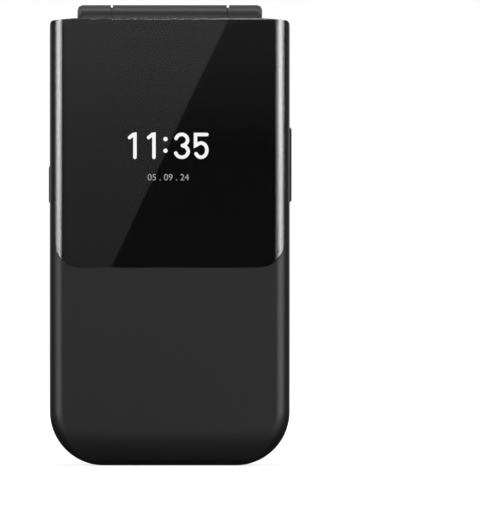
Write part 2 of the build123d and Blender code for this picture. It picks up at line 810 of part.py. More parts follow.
def base_front_case():
    """Keypad deck, with the two outer knuckles of the hinge."""
    case = base_blank() & block((-half_width, half_width), (deck_y, base_part_y), (0, above))
    hollow_top = hinge_z - trough_r - deck_wall
    case -= cavity(deck_wall, deck_wall, hollow_top, deck_y + deck_wall, base_part_y)
    bosses = [post(screw_boss_r, deck_y + deck_edge, base_part_y, x, z) for x, z in base_screws_at]
    case += fused(bosses) & base_blank()
    for x, z, _ in key_windows():
        case -= prism(window_opening(x, z, key_clearance), deck_y - 1, deck_y + deck_wall)
    case -= rod_y(nav_r + nav_clearance, deck_y - 1, deck_y + deck_wall, 0, nav_z)
    mic_slot = Pos(0, mic_z) * SlotOverall(mic_slot_length, mic_slot_width)
    case -= prism(mic_slot, deck_y - 1, deck_y + deck_wall)
    case -= rod_x(trough_r, -knuckle_start, knuckle_start)
    case += fused(both_sides(rod_x(hinge_r, knuckle_start, cap_start)))
    case -= side_bar(drive_head_view(fit_gap), knuckle_start - 1, cap_start)
    case -= rod_x(bush_r + fit_gap, -cap_start, -knuckle_start + 1)
    spigot_seat = side_bar(spigot_view(fit_gap), cap_start - cap_spigot_length - fit_gap, cap_start)
    cap_seat = rod_x(hinge_r + fit_gap, cap_start, knuckle_end + trough_clearance)
    case -= fused(both_sides(spigot_seat) + both_sides(cap_seat))
    case -= jack_hole()
    case -= usb_opening()
    return case - screw_holes(base_screws_at, floor_y, -1)


def mid_frame():
    """Band round the phone with the floor that the battery lies on."""
    frame = base_blank() & block((-half_width, half_width), (base_part_y, cover_part_y), (0, above))
    frame = chamfer(outer_edges(frame, cover_part_y, body_top - crown_drop), frame_edge)
    frame -= cavity(side_wall, side_wall, body_top - side_wall, floor_y, cover_part_y)
    bar_half = battery_width / 2 + bay_gap
    frame += block((-bar_half, bar_half), (floor_y, cover_part_y), (bay_top - bay_bar_height, bay_top))
    boss = rod_x(jack_boss_r, -half_width, -half_width + side_wall, jack_y, jack_z)
    boss = chamfer(boss.faces().sort_by(Axis.X)[0].edges(), jack_boss_edge)
    frame += boss & block((-half_width, 0), (base_part_y, rear_y), (0, above))
    bay = between((-battery_width / 2, battery_width / 2), (battery_bottom, battery_bottom + battery_height),
                  -2 * bay_bar_height)
    frame -= prism(bay, base_part_y, floor_y)
    frame -= side_key_holes()
    frame -= jack_hole()
    frame -= usb_opening()
    return frame - screw_holes(base_screws_at, floor_y, -1)


def roll_profile(reach, roll, depth, steps=0):
    """Half section: flat from the middle, then an arc, or steps of it, down to the edge at reach."""
    radius = (roll**2 + depth**2) / (2 * depth)
    flat_end = (reach - roll, depth)
    if steps:
        turn = math.asin(roll / radius) / steps
        arc = [(flat_end[0] + radius * math.sin(turn * n), depth - radius * (1 - math.cos(turn * n)))
               for n in range(steps, -1, -1)]
        return Polygon((0, 0), *arc, (0, depth), align=None)
    rest = Polyline((reach, 0), (0, 0), (0, depth), flat_end)
    return make_face(Curve() + [RadiusArc(flat_end, (reach, 0), radius), rest])


def pillow(inset, steps=0):
    """The rear cover's outer form with rolled sides, or its hollow when inset by the wall."""
    depth = cover_depth - inset
    corner_r = cover_corner_r - inset
    centre_x, centre_z = cover_half_width - cover_corner_r, cover_bottom_inset + cover_corner_r
    profile = roll_profile(corner_r, cover_side_roll - inset, depth, steps)
    at_corner = Plane(origin=(centre_x, cover_part_y, centre_z), x_dir=(1, 0, 0), z_dir=(0, 0, 1)) * profile
    below = Plane(origin=(-centre_x, cover_part_y, centre_z), x_dir=(0, 0, -1), z_dir=(1, 0, 0)) * profile
    side = extrude(at_corner, amount=above - centre_z)
    corner = revolve(at_corner, axis=Axis((centre_x, 0, centre_z), (0, 1, 0)), revolution_arc=90)
    bottom = extrude(below, amount=2 * centre_x)
    middle = block((-centre_x, centre_x), (cover_part_y, cover_part_y + depth), (centre_z, above))
    return fused(both_sides(side) + both_sides(corner) + [bottom, middle])


def top_roll_y(z):
    """Depth of the cover's outer face at height z of its rolled top."""
    return rear_y - roll_r + math.sqrt(roll_r**2 - (z - roll_start_z) ** 2)


def rear_side_view(inset):
    """Side view under the cover's rolled top, which runs on past the top edge."""
    past_top = cover_top_z + top_corner_r
    start = (rear_y - inset, roll_start_z)
    end = (top_roll_y(past_top) - inset, past_top)
    rest = Polyline(end, (cover_part_y - 1, past_top), (cover_part_y - 1, -1), (rear_y - inset, -1), start)
    return make_face(Curve() + [RadiusArc(start, end, -roll_r), rest])


def on_rear(x, z):
    """Plane on the cover's rolled top at x, z, looking out of the cover."""
    out = Vector(0, top_roll_y(z) - (rear_y - roll_r), z - roll_start_z).normalized()
    return Plane(origin=(x, top_roll_y(z), z), x_dir=(1, 0, 0), z_dir=out)


through = 3 * cover_wall    # depth of a cut that passes the cover's wall


def rear_disc(x, z, radius, low, high):
    """Disc between two heights above the cover's surface."""
    plane = on_rear(x, z)
    return plane * (Pos(0, 0, (low + high) / 2) * Cylinder(radius, high - low))


def grille_cuts():
    first = -(grille_slots - 1) / 2
    plane = on_rear(speaker_x, speaker_z)
    cuts = []
    for n in range(grille_slots):
        slot = Pos((first + n) * grille_pitch, 0) * Rectangle(grille_slot_width, grille_slot_length)
        cuts.append(extrude(plane.offset(-through) * slot, amount=2 * through))
    return fused(cuts)


def rear_form():
    """The cover's outer form, eased along the two edges where its rolls meet."""
    form = pillow(0) & side_bar(rear_side_view(0), -half_width, half_width)
    meeting = form.edges().filter_by(GeomType.BSPLINE).sort_by(Axis.Z)[-2:]
    return fillet(meeting, cover_ease_r)


def rear_cover():
    cover = rear_form() & prism(crowned(cover_half_width, cover_top_z, top_corner_r), cover_part_y, rear_y)
    inside = block((-half_width, half_width), (cover_part_y, rear_y), (0, cover_top_z - cover_wall))
    inside &= side_bar(rear_side_view(cover_wall), -half_width, half_width)
    cover -= pillow(cover_wall, hollow_steps) & inside
    tab_half, tab_top = tab_width / 2, cover_bottom_inset + tab_depth / 2
    tab = Polygon(
        (-tab_half, cover_bottom_inset), (-tab_half + tab_slant, 0), (tab_half - tab_slant, 0),
        (tab_half, cover_bottom_inset), (tab_half, tab_top), (-tab_half, tab_top), align=None,
    )
    cover += prism(tab, cover_part_y, cover_part_y + tab_depth)
    cover -= rear_disc(0, camera_z, camera_window_r + camera_rim, -camera_window_thickness, through)
    cover -= rear_disc(0, camera_z, camera_barrel_r + camera_rim, -through, through)
    cover -= rear_disc(flash_x, flash_z, flash_r + bumper_clearance, -through, through)
    cover -= rear_disc(rear_mic_x, rear_mic_z, rear_mic_r, -through, through)
    cover -= grille_cuts()
    return cover - rod_x(jack_boss_r + jack_clearance, -half_width - 1, jack_back, jack_y, jack_z)


def camera_window():
    return rear_disc(0, camera_z, camera_window_r, -camera_window_thickness + fit_gap, 0)


def camera_trim():
    """Thin metal ring between the window and the cover."""
    low = -camera_window_thickness + fit_gap
    ring = rear_disc(0, camera_z, camera_window_r + camera_rim - fit_gap, low, camera_trim_stand)
    return ring - rear_disc(0, camera_z, camera_window_r + fit_gap, -through, through)


def camera_module():
    half = camera_body / 2
    shoulder = floor_y + camera_body_height
    tip = on_rear(0, camera_z).origin.Y - camera_window_thickness - camera_headroom
    body = block((-half, half), (floor_y, shoulder), (camera_z - half, camera_z + half))
    body += post(camera_barrel_r, shoulder, tip, 0, camera_z, sides=16)
    return body - post(camera_bore_r, tip - camera_bore_depth, tip, 0, camera_z)


def flash_lens():
    lens = rear_disc(flash_x, flash_z, flash_r, -cover_wall - flash_flange_thickness, 0)
    low = -cover_wall - flash_flange_thickness
    return lens + rear_disc(flash_x, flash_z, flash_r + flash_flange, low, -cover_wall - flash_seat_gap)


def main_board():
    view = tongue(board_width, bottom_corner_r - board_inset, board_bottom, board_top)
    board = prism(view, board_y, board_back_y)
    for x, z in base_screws_at:
        board -= post(screw_boss_r + key_clearance, board_y, board_back_y, x, z)
    return board


def shield_cans():
    """Pressed covers over the radio and the processor, on the rear of the board."""
    y = (board_back_y, base_part_y - can_clearance)
    radio = block((-radio_can_width / 2, radio_can_width / 2), y, (bay_top, bay_top + radio_can_height))
    main_z = (main_can_z - main_can_height / 2, main_can_z + main_can_height / 2)
    main = block((-main_can_width / 2, main_can_width / 2), y, main_z)
    return [chamfer(can.faces().sort_by(Axis.Y)[-1].edges(), can_edge) for can in (radio, main)]


def battery():
    z = (battery_bottom, battery_bottom + battery_height)
    x = (-battery_width / 2, battery_width / 2)
    pack = block(x, (floor_y + fit_gap, floor_y + battery_thickness), z)
    return chamfer(pack.edges().filter_by(Axis.Z), battery_edge_r)


def battery_contacts():
    """Sprung blades on the bar that reach the pack's top end."""
    low = bay_top - bay_bar_height
    blades = []
    for n in range(contact_count):
        x = battery_width / 2 - contact_inset + (n - (contact_count - 1) / 2) * contact_pitch
        y = (cover_part_y, cover_part_y + contact_height)
        blades.append(block((x - contact_width / 2, x + contact_width / 2), y, (low, low + contact_length)))
    return blades


def loudspeaker():
    view = Pos(speaker_x, speaker_z) * Rectangle(speaker_length, speaker_width)
    box = prism(view, floor_y, floor_y + speaker_depth)
    return chamfer(box.edges().filter_by(Axis.Y), speaker_width / 4)


sim_x = jack_back + bay_gap


def vibration_motor():
    x = sim_x + sim_width + bay_gap + motor_r
    return post(motor_r, floor_y, floor_y + motor_depth, x, bay_top + bay_gap + motor_r, sides=16)


def microphone():
    half = mic_size / 2
    return block((-half, half), (board_y - mic_thickness, board_y), (mic_z - half, mic_z + half))


def headset_jack():
    barrel = rod_x(jack_r, jack_mouth, jack_back, jack_y, jack_z)
    return barrel - rod_x(jack_bore_r, jack_mouth, jack_mouth + jack_depth, jack_y, jack_z)


def usb_socket():
    """Metal shell round a tongue, open at the bottom edge."""
    half, height = usb_width / 2, usb_height
    view = Polygon(
        (-half, 0), (half, 0), (half, height / 2), (half - height / 2, height),
        (-half + height / 2, height), (-half, height / 2), align=None,
    )
    inner = offset(view, -usb_wall, kind=Kind.INTERSECTION)
    place = Plane(origin=(0, board_back_y, usb_setback), x_dir=(1, 0, 0), z_dir=(0, 0, 1))
    shell = extrude(place * view, amount=usb_depth) - extrude(place * inner, amount=usb_depth - usb_tongue)
    tongue_y = board_back_y + height / 2
    tongue_half = half - height / 2
    return shell + block((-tongue_half, tongue_half), (tongue_y, tongue_y + usb_tongue),
                         (usb_setback + usb_tongue, usb_setback + usb_depth))


def sim_holder():
    """Card cage on the frame's floor, above the battery, open at its lower end."""
    low = bay_top + bay_gap
    cage = block((sim_x, sim_x + sim_width), (floor_y, floor_y + sim_depth), (low, low + sim_height))
    slot_x = (sim_x + sim_wall, sim_x + sim_width - sim_wall)
    slot_y = (floor_y + sim_floor, floor_y + sim_floor + sim_slot)
    return cage - block(slot_x, slot_y, (low, low + sim_height - sim_wall))


def antenna():
    """Moulded carrier along the bottom, bridging the charging socket."""
    z = (side_wall + fit_gap, side_wall + fit_gap + antenna_height)
    bridge_y = board_back_y + usb_height + 2 * usb_clearance
    half = antenna_width / 2
    carrier = block((-half, half), (floor_y, bridge_y + antenna_depth), z)
    return carrier - block((-antenna_span / 2, antenna_span / 2), (floor_y, bridge_y), z)


def base_screws():
    return [screw(x, z, floor_y, -1) for x, z in base_screws_at]


# ---------------------------------------------------------------- the assembly
pieces = {
    "lid_front_case": lid_front_case,
    "cover_glass": cover_glass,
    "cover_display": cover_display,
    "lid_board": lid_board,
    "display_flex": display_flex,
    "lid_inner_case": lid_inner_case,
    "main_display": main_display,
    "display_window": display_window,
    "earpiece": earpiece,
    "lid_magnet": lid_magnet,
    "lid_screws": lid_screws,
    "lid_bumpers": lid_bumpers,
    "hinge_module": hinge_module,
    "hinge_shaft": hinge_shaft,
    "hinge_bush": hinge_bush,
    "hinge_flex": hinge_flex,
    "hinge_caps": hinge_caps,
    "base_front_case": base_front_case,
    "mid_frame": mid_frame,
    "rear_cover": rear_cover,
    "camera_window": camera_window,
    "camera_trim": camera_trim,
    "camera_module": camera_module,
    "flash_lens": flash_lens,
    "main_board": main_board,
    "shield_cans": shield_cans,
    "keypad_domes": keypad_domes,
    "battery": battery,
    "battery_contacts": battery_contacts,
    "loudspeaker": loudspeaker,
    "vibration_motor": vibration_motor,
    "microphone": microphone,
    "headset_jack": headset_jack,
    "usb_socket": usb_socket,
    "sim_holder": sim_holder,
    "antenna": antenna,
    "base_screws": base_screws,
    "side_switches": side_switches,
    "alert_key": alert_key,
    "volume_rocker": volume_rocker,
    "nav_web": nav_web,
    "nav_ring": nav_ring,
    "select_key": select_key,
}


def write(node, shape):
    solids = shape if isinstance(shape, list) else [shape]
    whole = Compound(children=[s for part in solids for s in part.solids()])
    whole.label = node
    export_step(whole, os.path.join("parts", node + ".step"))


os.makedirs("parts", exist_ok=True)
for node, make in pieces.items():
    write(node, make())
for node, limits in key_cells().items():
    write(node, key_cap(*limits))
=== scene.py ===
import json
import math

import bpy
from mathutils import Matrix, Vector

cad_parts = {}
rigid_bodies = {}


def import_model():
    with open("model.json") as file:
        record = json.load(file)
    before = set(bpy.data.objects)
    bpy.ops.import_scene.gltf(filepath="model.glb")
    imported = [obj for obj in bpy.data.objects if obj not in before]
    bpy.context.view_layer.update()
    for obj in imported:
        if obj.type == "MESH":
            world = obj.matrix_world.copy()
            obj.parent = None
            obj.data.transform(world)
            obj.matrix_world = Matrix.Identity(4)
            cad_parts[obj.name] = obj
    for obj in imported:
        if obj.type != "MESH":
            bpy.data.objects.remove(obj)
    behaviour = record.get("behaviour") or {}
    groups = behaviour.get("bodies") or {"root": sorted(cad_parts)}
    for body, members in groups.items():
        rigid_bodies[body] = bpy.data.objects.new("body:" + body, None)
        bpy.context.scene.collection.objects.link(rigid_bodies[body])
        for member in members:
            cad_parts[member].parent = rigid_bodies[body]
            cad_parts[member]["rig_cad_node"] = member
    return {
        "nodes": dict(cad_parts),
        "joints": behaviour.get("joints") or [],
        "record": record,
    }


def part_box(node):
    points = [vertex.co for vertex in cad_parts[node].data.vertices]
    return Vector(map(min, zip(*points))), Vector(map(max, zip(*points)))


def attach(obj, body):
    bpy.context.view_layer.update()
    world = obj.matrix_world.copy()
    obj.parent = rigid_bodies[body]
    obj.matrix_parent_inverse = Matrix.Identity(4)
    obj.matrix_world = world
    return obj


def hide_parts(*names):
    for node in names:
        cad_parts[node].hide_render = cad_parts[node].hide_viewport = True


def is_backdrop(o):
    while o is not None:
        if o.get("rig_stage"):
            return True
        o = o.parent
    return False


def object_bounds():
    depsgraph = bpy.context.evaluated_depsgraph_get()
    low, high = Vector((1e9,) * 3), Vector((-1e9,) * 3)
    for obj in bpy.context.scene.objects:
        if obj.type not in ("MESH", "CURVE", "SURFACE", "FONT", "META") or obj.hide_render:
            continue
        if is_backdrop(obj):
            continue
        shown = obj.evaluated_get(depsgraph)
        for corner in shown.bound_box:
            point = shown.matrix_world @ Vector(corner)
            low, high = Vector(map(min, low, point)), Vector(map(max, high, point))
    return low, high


bl_info = {
    "name": "Folding phone",
    "version": (1, 0, 0),
    "blender": (4, 5, 0),
    "location": "View3D > Sidebar > Phone",
    "description": "Finishes, display, key legends and studio for a folding phone",
    "category": "Object",
}

MM = 0.001
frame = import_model()
SLOT_OF = {row["node"]: row["material_slot"] for row in frame["record"]["subparts"]}
BODY_OF = {node: body for body, nodes in frame["record"]["behaviour"]["bodies"].items() for node in nodes}

# The view, in pixels from the picture's left and top edges. A pixel is this wide at the lid's face.
IMAGE_WIDTH = 480
IMAGE_HEIGHT = 511
PIXEL = 0.2267 * MM
PHONE_CENTRE_PX = 169.6
GROUND_PX = 465.9
SENSOR_WIDTH = 36


def linear(level):
    """One channel from a screen value of 0 to 255 to the linear value that shades it."""
    v = level / 255
    return v / 12.92 if v <= 0.04045 else ((v + 0.055) / 1.055) ** 2.4


def grey(level):
    """A neutral colour from one screen value of 0 to 255."""
    return (linear(level),) * 3


def colour_prop(name, description, default):
    return bpy.props.FloatVectorProperty(
        name=name, description=description, subtype="COLOR", size=3, min=0, max=1, default=default)


def length_prop(name, description, default):
    return bpy.props.FloatProperty(
        name=name, description=description, unit="LENGTH", subtype="DISTANCE", min=0, precision=5,
        default=default)


def level_prop(name, description, default):
    return bpy.props.FloatProperty(
        name=name, description=description, subtype="FACTOR", min=0, default=default)


# ------------------------------------------------------------------ settings
class PhoneColours(bpy.types.PropertyGroup):
    shell: colour_prop("Shells", "Matte lid and deck", grey(25))
    frame: colour_prop("Middle frame", "Satin band round the phone", grey(122))
    cover: colour_prop("Rear cover", "High gloss cover", grey(4))
    keys: colour_prop("Keys", "Satin key caps", grey(58))
    ring: colour_prop("Ring", "Navigation ring", grey(86))
    legend: colour_prop("Legends", "Printing on the keys", grey(226))
    lit: colour_prop("Lit display", "Clock on the outer display", grey(250))
    lit_dim: colour_prop("Dim display", "Date on the outer display", grey(160))


class PhoneSizes(bpy.types.PropertyGroup):
    clock_height: length_prop("Clock height", "Height of the clock's strokes", 5.23 * MM)
    clock_level: length_prop("Clock level", "Centre of the clock above the bottom edge", 72.59 * MM)
    date_height: length_prop("Date height", "Height of the date's figures", 1.46 * MM)
    date_level: length_prop("Date level", "Centre of the date above the bottom edge", 65.45 * MM)
    legend_height: length_prop("Legend height", "Height of the figures on the keys", 3.4 * MM)
    print_lift: length_prop("Print lift", "Thickness of printing and lit figures", 0.012 * MM)


class StudioSettings(bpy.types.PropertyGroup):
    camera_distance: length_prop("Camera distance", "From the lid's face to the camera", 1.5)
    overhead_level: level_prop("Overhead", "Radiance of the softbox above the camera", 2.33)
    side_level: level_prop("Side glow", "Share of the side walls' full glow", 1.0)
    card_level: level_prop("Card", "Share of the two-tone card's full glow", 1.0)
    room_level: level_prop("Room", "Radiance of the room", 0.05)
    gloss_share: level_prop("Bright gloss", "Share of the white surroundings that shows in gloss", 0.03)


def colours():
    return bpy.context.scene.phone_colours


def sizes():
    return bpy.context.scene.phone_sizes


def studio():
    return bpy.context.scene.phone_studio


# ------------------------------------------------------------------ node helpers
PATCHES_PER_METRE = 55.0
BRUSH_MARKS_PER_METRE = 400.0
BRUSH_DEPTH = 0.004 * MM
# How far a face's normal points up the phone where its sheen starts to go, and where it has gone.
UPWARD_FROM = 0.93
UPWARD_FULL = 0.99


def node(tree, kind, x=0, y=0, **values):
    """A new node at (x, y), with its own settings such as operation."""
    made = tree.nodes.new(kind)
    made.location = (x, y)
    for key, value in values.items():
        setattr(made, key, value)
    return made


def calculated(tree, x, y, operation, *values):
    """The result of a Math node; each value is a number or another node's output."""
    made = node(tree, "ShaderNodeMath", x, y, operation=operation)
    for socket, value in zip(made.inputs, values):
        if isinstance(value, bpy.types.NodeSocket):
            tree.links.new(value, socket)
        else:
            socket.default_value = value
    return made.outputs[0]


def ranged(tree, x, y, source, low, high):
    """A value as its share of the way from low to high."""
    made = node(tree, "ShaderNodeMapRange", x, y)
    made.inputs["From Min"].default_value, made.inputs["From Max"].default_value = low, high
    tree.links.new(source, made.inputs["Value"])
    return made.outputs["Result"]


def ramp(tree, x, y, source, stops):
    """A value's colour, or its level, along stops of (place, colour or level)."""
    made = node(tree, "ShaderNodeValToRGB", x, y)
    elements = made.color_ramp.elements
    while len(elements) < len(stops):
        elements.new(0.5)
    for element, (at, shade) in zip(elements, stops):
        colour = shade if isinstance(shade, tuple) else (shade,) * 3
        element.position, element.color = at, (*colour, 1)
    tree.links.new(source, made.inputs[0])
    return made.outputs[0]


def object_coordinates(tree):
    return node(tree, "ShaderNodeTexCoord", -1200).outputs["Object"]


def new_group(name, inputs, outputs):
    """An empty node group with float inputs (name, default) and outputs (name, kind)."""
    group = bpy.data.node_groups.new(name, "ShaderNodeTree")
    for label, default in inputs:
        socket = group.interface.new_socket(label, in_out="INPUT", socket_type="NodeSocketFloat")
        socket.default_value = default
    for label, kind in outputs:
        group.interface.new_socket(label, in_out="OUTPUT", socket_type=kind)
    return group, node(group, "NodeGroupInput", -900), node(group, "NodeGroupOutput", 500)


def moulded_surface():
    """Fine moulded grain: a bumped normal, and a roughness that drifts a little over the piece."""
    if "Moulded surface" in bpy.data.node_groups:
        return bpy.data.node_groups["Moulded surface"]
    group, inputs, outputs = new_group(
        "Moulded surface",
        [("Grain size", 0.1 * MM), ("Grain depth", 0.004 * MM), ("Roughness", 0.5), ("Drift", 0.05)],
        [("Normal", "NodeSocketVector"), ("Roughness", "NodeSocketFloat")])
    link = group.links.new
    place = object_coordinates(group)
    per_metre = calculated(group, -700, 0, "DIVIDE", 1.0, inputs.outputs["Grain size"])
    grain = node(group, "ShaderNodeTexNoise", -450)
    grain.inputs["Detail"].default_value = 3.0
    link(place, grain.inputs["Vector"])
    link(per_metre, grain.inputs["Scale"])
    bump = node(group, "ShaderNodeBump", -150)
    bump.inputs["Strength"].default_value = 1.0
    link(grain.outputs["Fac"], bump.inputs["Height"])
    link(inputs.outputs["Grain depth"], bump.inputs["Distance"])
    link(bump.outputs["Normal"], outputs.inputs["Normal"])
    patches = node(group, "ShaderNodeTexNoise", -450, -300)
    patches.inputs["Scale"].default_value = PATCHES_PER_METRE
    patches.inputs["Detail"].default_value = 4.0
    link(place, patches.inputs["Vector"])
    centred = calculated(group, -250, -300, "SUBTRACT", patches.outputs["Fac"], 0.5)
    drift = inputs.outputs["Drift"]
    drifted = calculated(group, -50, -300, "MULTIPLY_ADD", centred, drift, inputs.outputs["Roughness"])
    link(drifted, outputs.inputs["Roughness"])
    return group


def material(name, colour, **sockets):
    """A material with one Principled shader; plain values go on its own sockets."""
    made = bpy.data.materials.new(name)
    made.use_nodes = True
    shader = made.node_tree.nodes["Principled BSDF"]
    shader.inputs["Base Color"].default_value = (*colour, 1)
    made.diffuse_color = (*colour, 1)
    for socket, value in sockets.items():
        shader.inputs[socket.replace("_", " ")].default_value = value
    return made, shader


def moulded(name, colour, roughness, grain=0.1, depth=0.004, drift=0.05, **sockets):
    """A finish with the moulded surface group; grain and depth in millimetres."""
    made, shader = material(name, colour, **sockets)
    tree = made.node_tree
    surface = node(tree, "ShaderNodeGroup", -350, node_tree=moulded_surface())
    surface.inputs["Grain size"].default_value = grain * MM
    surface.inputs["Grain depth"].default_value = depth * MM
    surface.inputs["Roughness"].default_value = roughness
    surface.inputs["Drift"].default_value = drift
    for socket in ("Normal", "Roughness"):
        tree.links.new(surface.outputs[socket], shader.inputs[socket])
    return made


def dull_upward(made):
    """The finish with no sheen on flat faces that point up the phone, where the glow walls would glare."""
    tree = made.node_tree
    shader = tree.nodes["Principled BSDF"]
    place = node(tree, "ShaderNodeTexCoord", -1100, -500)
    parts = node(tree, "ShaderNodeSeparateXYZ", -900, -500)
    upward = node(tree, "ShaderNodeMapRange", -700, -500, interpolation_type="SMOOTHSTEP")
    upward.inputs["From Min"].default_value = UPWARD_FROM
    upward.inputs["From Max"].default_value = UPWARD_FULL
    link = tree.links.new
    link(place.outputs["Normal"], parts.inputs[0])
    link(parts.outputs["Z"], upward.inputs["Value"])
    usual = shader.inputs["Roughness"].links[0].from_socket
    rougher = calculated(tree, -100, -300, "MAXIMUM", usual, upward.outputs["Result"])
    link(rougher, shader.inputs["Roughness"])
    return made


def brushed(name, colour, roughness, along=(1, 1, 30)):
    """Metal with fine marks; along stretches their pattern in x, y and z."""
    made, shader = material(name, colour, Metallic=1.0, Roughness=roughness)
    tree = made.node_tree
    mapping = node(tree, "ShaderNodeMapping", -900)
    mapping.inputs["Scale"].default_value = along
    noise = node(tree, "ShaderNodeTexNoise", -650)
    noise.inputs["Scale"].default_value = BRUSH_MARKS_PER_METRE
    bump = node(tree, "ShaderNodeBump", -350)
    bump.inputs["Distance"].default_value = BRUSH_DEPTH
    link = tree.links.new
    link(object_coordinates(tree), mapping.inputs["Vector"])
    link(mapping.outputs["Vector"], noise.inputs["Vector"])
    link(noise.outputs["Fac"], bump.inputs["Height"])
    link(bump.outputs["Normal"], shader.inputs["Normal"])
    return made


def clear_glass(name, tint):
    """Polished glass or clear plastic."""
    return material(name, tint, Roughness=0.0, IOR=1.5, Transmission_Weight=1.0)[0]


def glowing(name, colour):
    """A lit face with no sheen of its own."""
    made, shader = material(name, (0, 0, 0), Roughness=0.6, Specular_IOR_Level=0.0, Emission_Strength=1.0)
    shader.inputs["Emission Color"].default_value = (*colour, 1)
    return made


# ------------------------------------------------------------------ piece helpers
def deselect():
    """Leaves edit mode, with nothing selected."""
    if bpy.context.object and bpy.context.object.mode != "OBJECT":
        bpy.ops.object.mode_set(mode="OBJECT")
    bpy.ops.object.select_all(action="DESELECT")


def apply_place(piece):
    """Moves the piece's place, turn and scale into its mesh."""
    deselect()
    piece.select_set(True)
    bpy.context.view_layer.objects.active = piece
    bpy.ops.object.transform_apply(location=True, rotation=True, scale=True)


def hand_over(piece, name, body, finish):
    """Names a finished piece, gives it its finish and lets it ride on its body."""
    piece.name = piece.data.name = name
    piece.data.materials.clear()
    piece.data.materials.append(finish)
    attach(piece, body)
    return piece


# A bar's corner radius as a share of its smaller side: a half, less a hair so that its ends don't meet.
ROUND_END = 0.49
MERGE_WITHIN = 0.001 * MM


def printed_figures(text, height, x, y, z):
    """Flat figures that face out of the lid or deck, sized by their real height."""
    deselect()
    bpy.ops.object.text_add(rotation=(math.pi / 2, 0, 0))
    piece = bpy.context.object
    piece.data.body = text
    piece.data.align_x, piece.data.align_y = "CENTER", "CENTER"
    piece.data.resolution_u = 6
    bpy.ops.object.convert(target="MESH")
    piece = bpy.context.object
    apply_place(piece)
    tall = [v.co.z for v in piece.data.vertices]
    wide = [v.co.x for v in piece.data.vertices]
    scale = height / (max(tall) - min(tall))
    piece.scale = (scale, scale, scale)
    piece.location = (x - scale * (max(wide) + min(wide)) / 2, y, z - scale * (max(tall) + min(tall)) / 2)
    apply_place(piece)
    return piece


def joined(pieces):
    """One piece made of several."""
    deselect()
    for piece in pieces:
        piece.select_set(True)
    bpy.context.view_layer.objects.active = pieces[0]
    bpy.ops.object.join()
    return bpy.context.object


def flat_bar(width, height, x, y, z):
    """A flat printed bar with round ends, facing out of the deck."""
    deselect()
    bpy.ops.mesh.primitive_plane_add(size=1)
    piece = bpy.context.object
    piece.scale = (width, height, 1)
    apply_place(piece)
    bpy.ops.object.mode_set(mode="EDIT")
    bpy.ops.mesh.select_all(action="SELECT")
    bpy.ops.mesh.bevel(offset=min(width, height) * ROUND_END, segments=4, affect="VERTICES")
    bpy.ops.object.mode_set(mode="OBJECT")
    piece.rotation_euler = (math.pi / 2, 0, 0)
    piece.location = (x, y, z)
    apply_place(piece)
    return piece


def turned_ring(outline, centre, outward, steps=48):
    """Spins an outline of (radius, height) points about the outward direction."""
    deselect()
    bpy.ops.mesh.primitive_circle_add(vertices=len(outline), fill_type="NOTHING")
    piece = bpy.context.object
    for vertex, (radius, height) in zip(piece.data.vertices, outline):
        vertex.co = (radius, 0, height)
    bpy.ops.object.mode_set(mode="EDIT")
    bpy.ops.mesh.select_all(action="SELECT")
    bpy.ops.mesh.spin(steps=steps, angle=2 * math.pi, center=(0, 0, 0), axis=(0, 0, 1))
    bpy.ops.mesh.select_all(action="SELECT")
    bpy.ops.mesh.remove_doubles(threshold=MERGE_WITHIN)
    bpy.ops.mesh.normals_make_consistent(inside=False)
    bpy.ops.object.mode_set(mode="OBJECT")
    piece.rotation_mode = "QUATERNION"
    piece.rotation_quaternion = Vector(outward).to_track_quat("Z", "Y")
    piece.location = centre
    apply_place(piece)
    piece.rotation_mode = "XYZ"
    bpy.ops.object.shade_smooth_by_angle(angle=math.radians(40))
    return piece


def print_sheet(width, height, corner, round_top, opening=None, lift=0.0):
    """A flat sheet at the origin with rounded corners; its opening (width, height) is moved up by lift."""
    deselect()
    bpy.ops.mesh.primitive_plane_add(size=1, location=(0, 0, 0))
    sheet = bpy.context.object
    sheet.scale = (width, height, 1)
    apply_place(sheet)
    bpy.ops.object.mode_set(mode="EDIT")
    bpy.ops.mesh.select_all(action="DESELECT")
    bpy.ops.object.mode_set(mode="OBJECT")
    for vertex in sheet.data.vertices:
        vertex.select = round_top or vertex.co.y < 0
    bpy.ops.object.mode_set(mode="EDIT")
    bpy.ops.mesh.bevel(offset=corner, segments=12, affect="VERTICES")
    if opening:
        border = (width - opening[0]) / 2
        bpy.ops.mesh.select_all(action="SELECT")
        bpy.ops.mesh.inset(thickness=border)
        stretch = opening[1] / (height - 2 * border)
        bpy.ops.transform.resize(value=(1, stretch, 1), center_override=(0, 0, 0))
        bpy.ops.transform.translate(value=(0, lift, 0))
        bpy.ops.mesh.delete(type="FACE")
    bpy.ops.object.mode_set(mode="OBJECT")
    return sheet


def middle(part):
    """The centre of a CAD part's box."""
    low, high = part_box(part)
    return (low + high) / 2


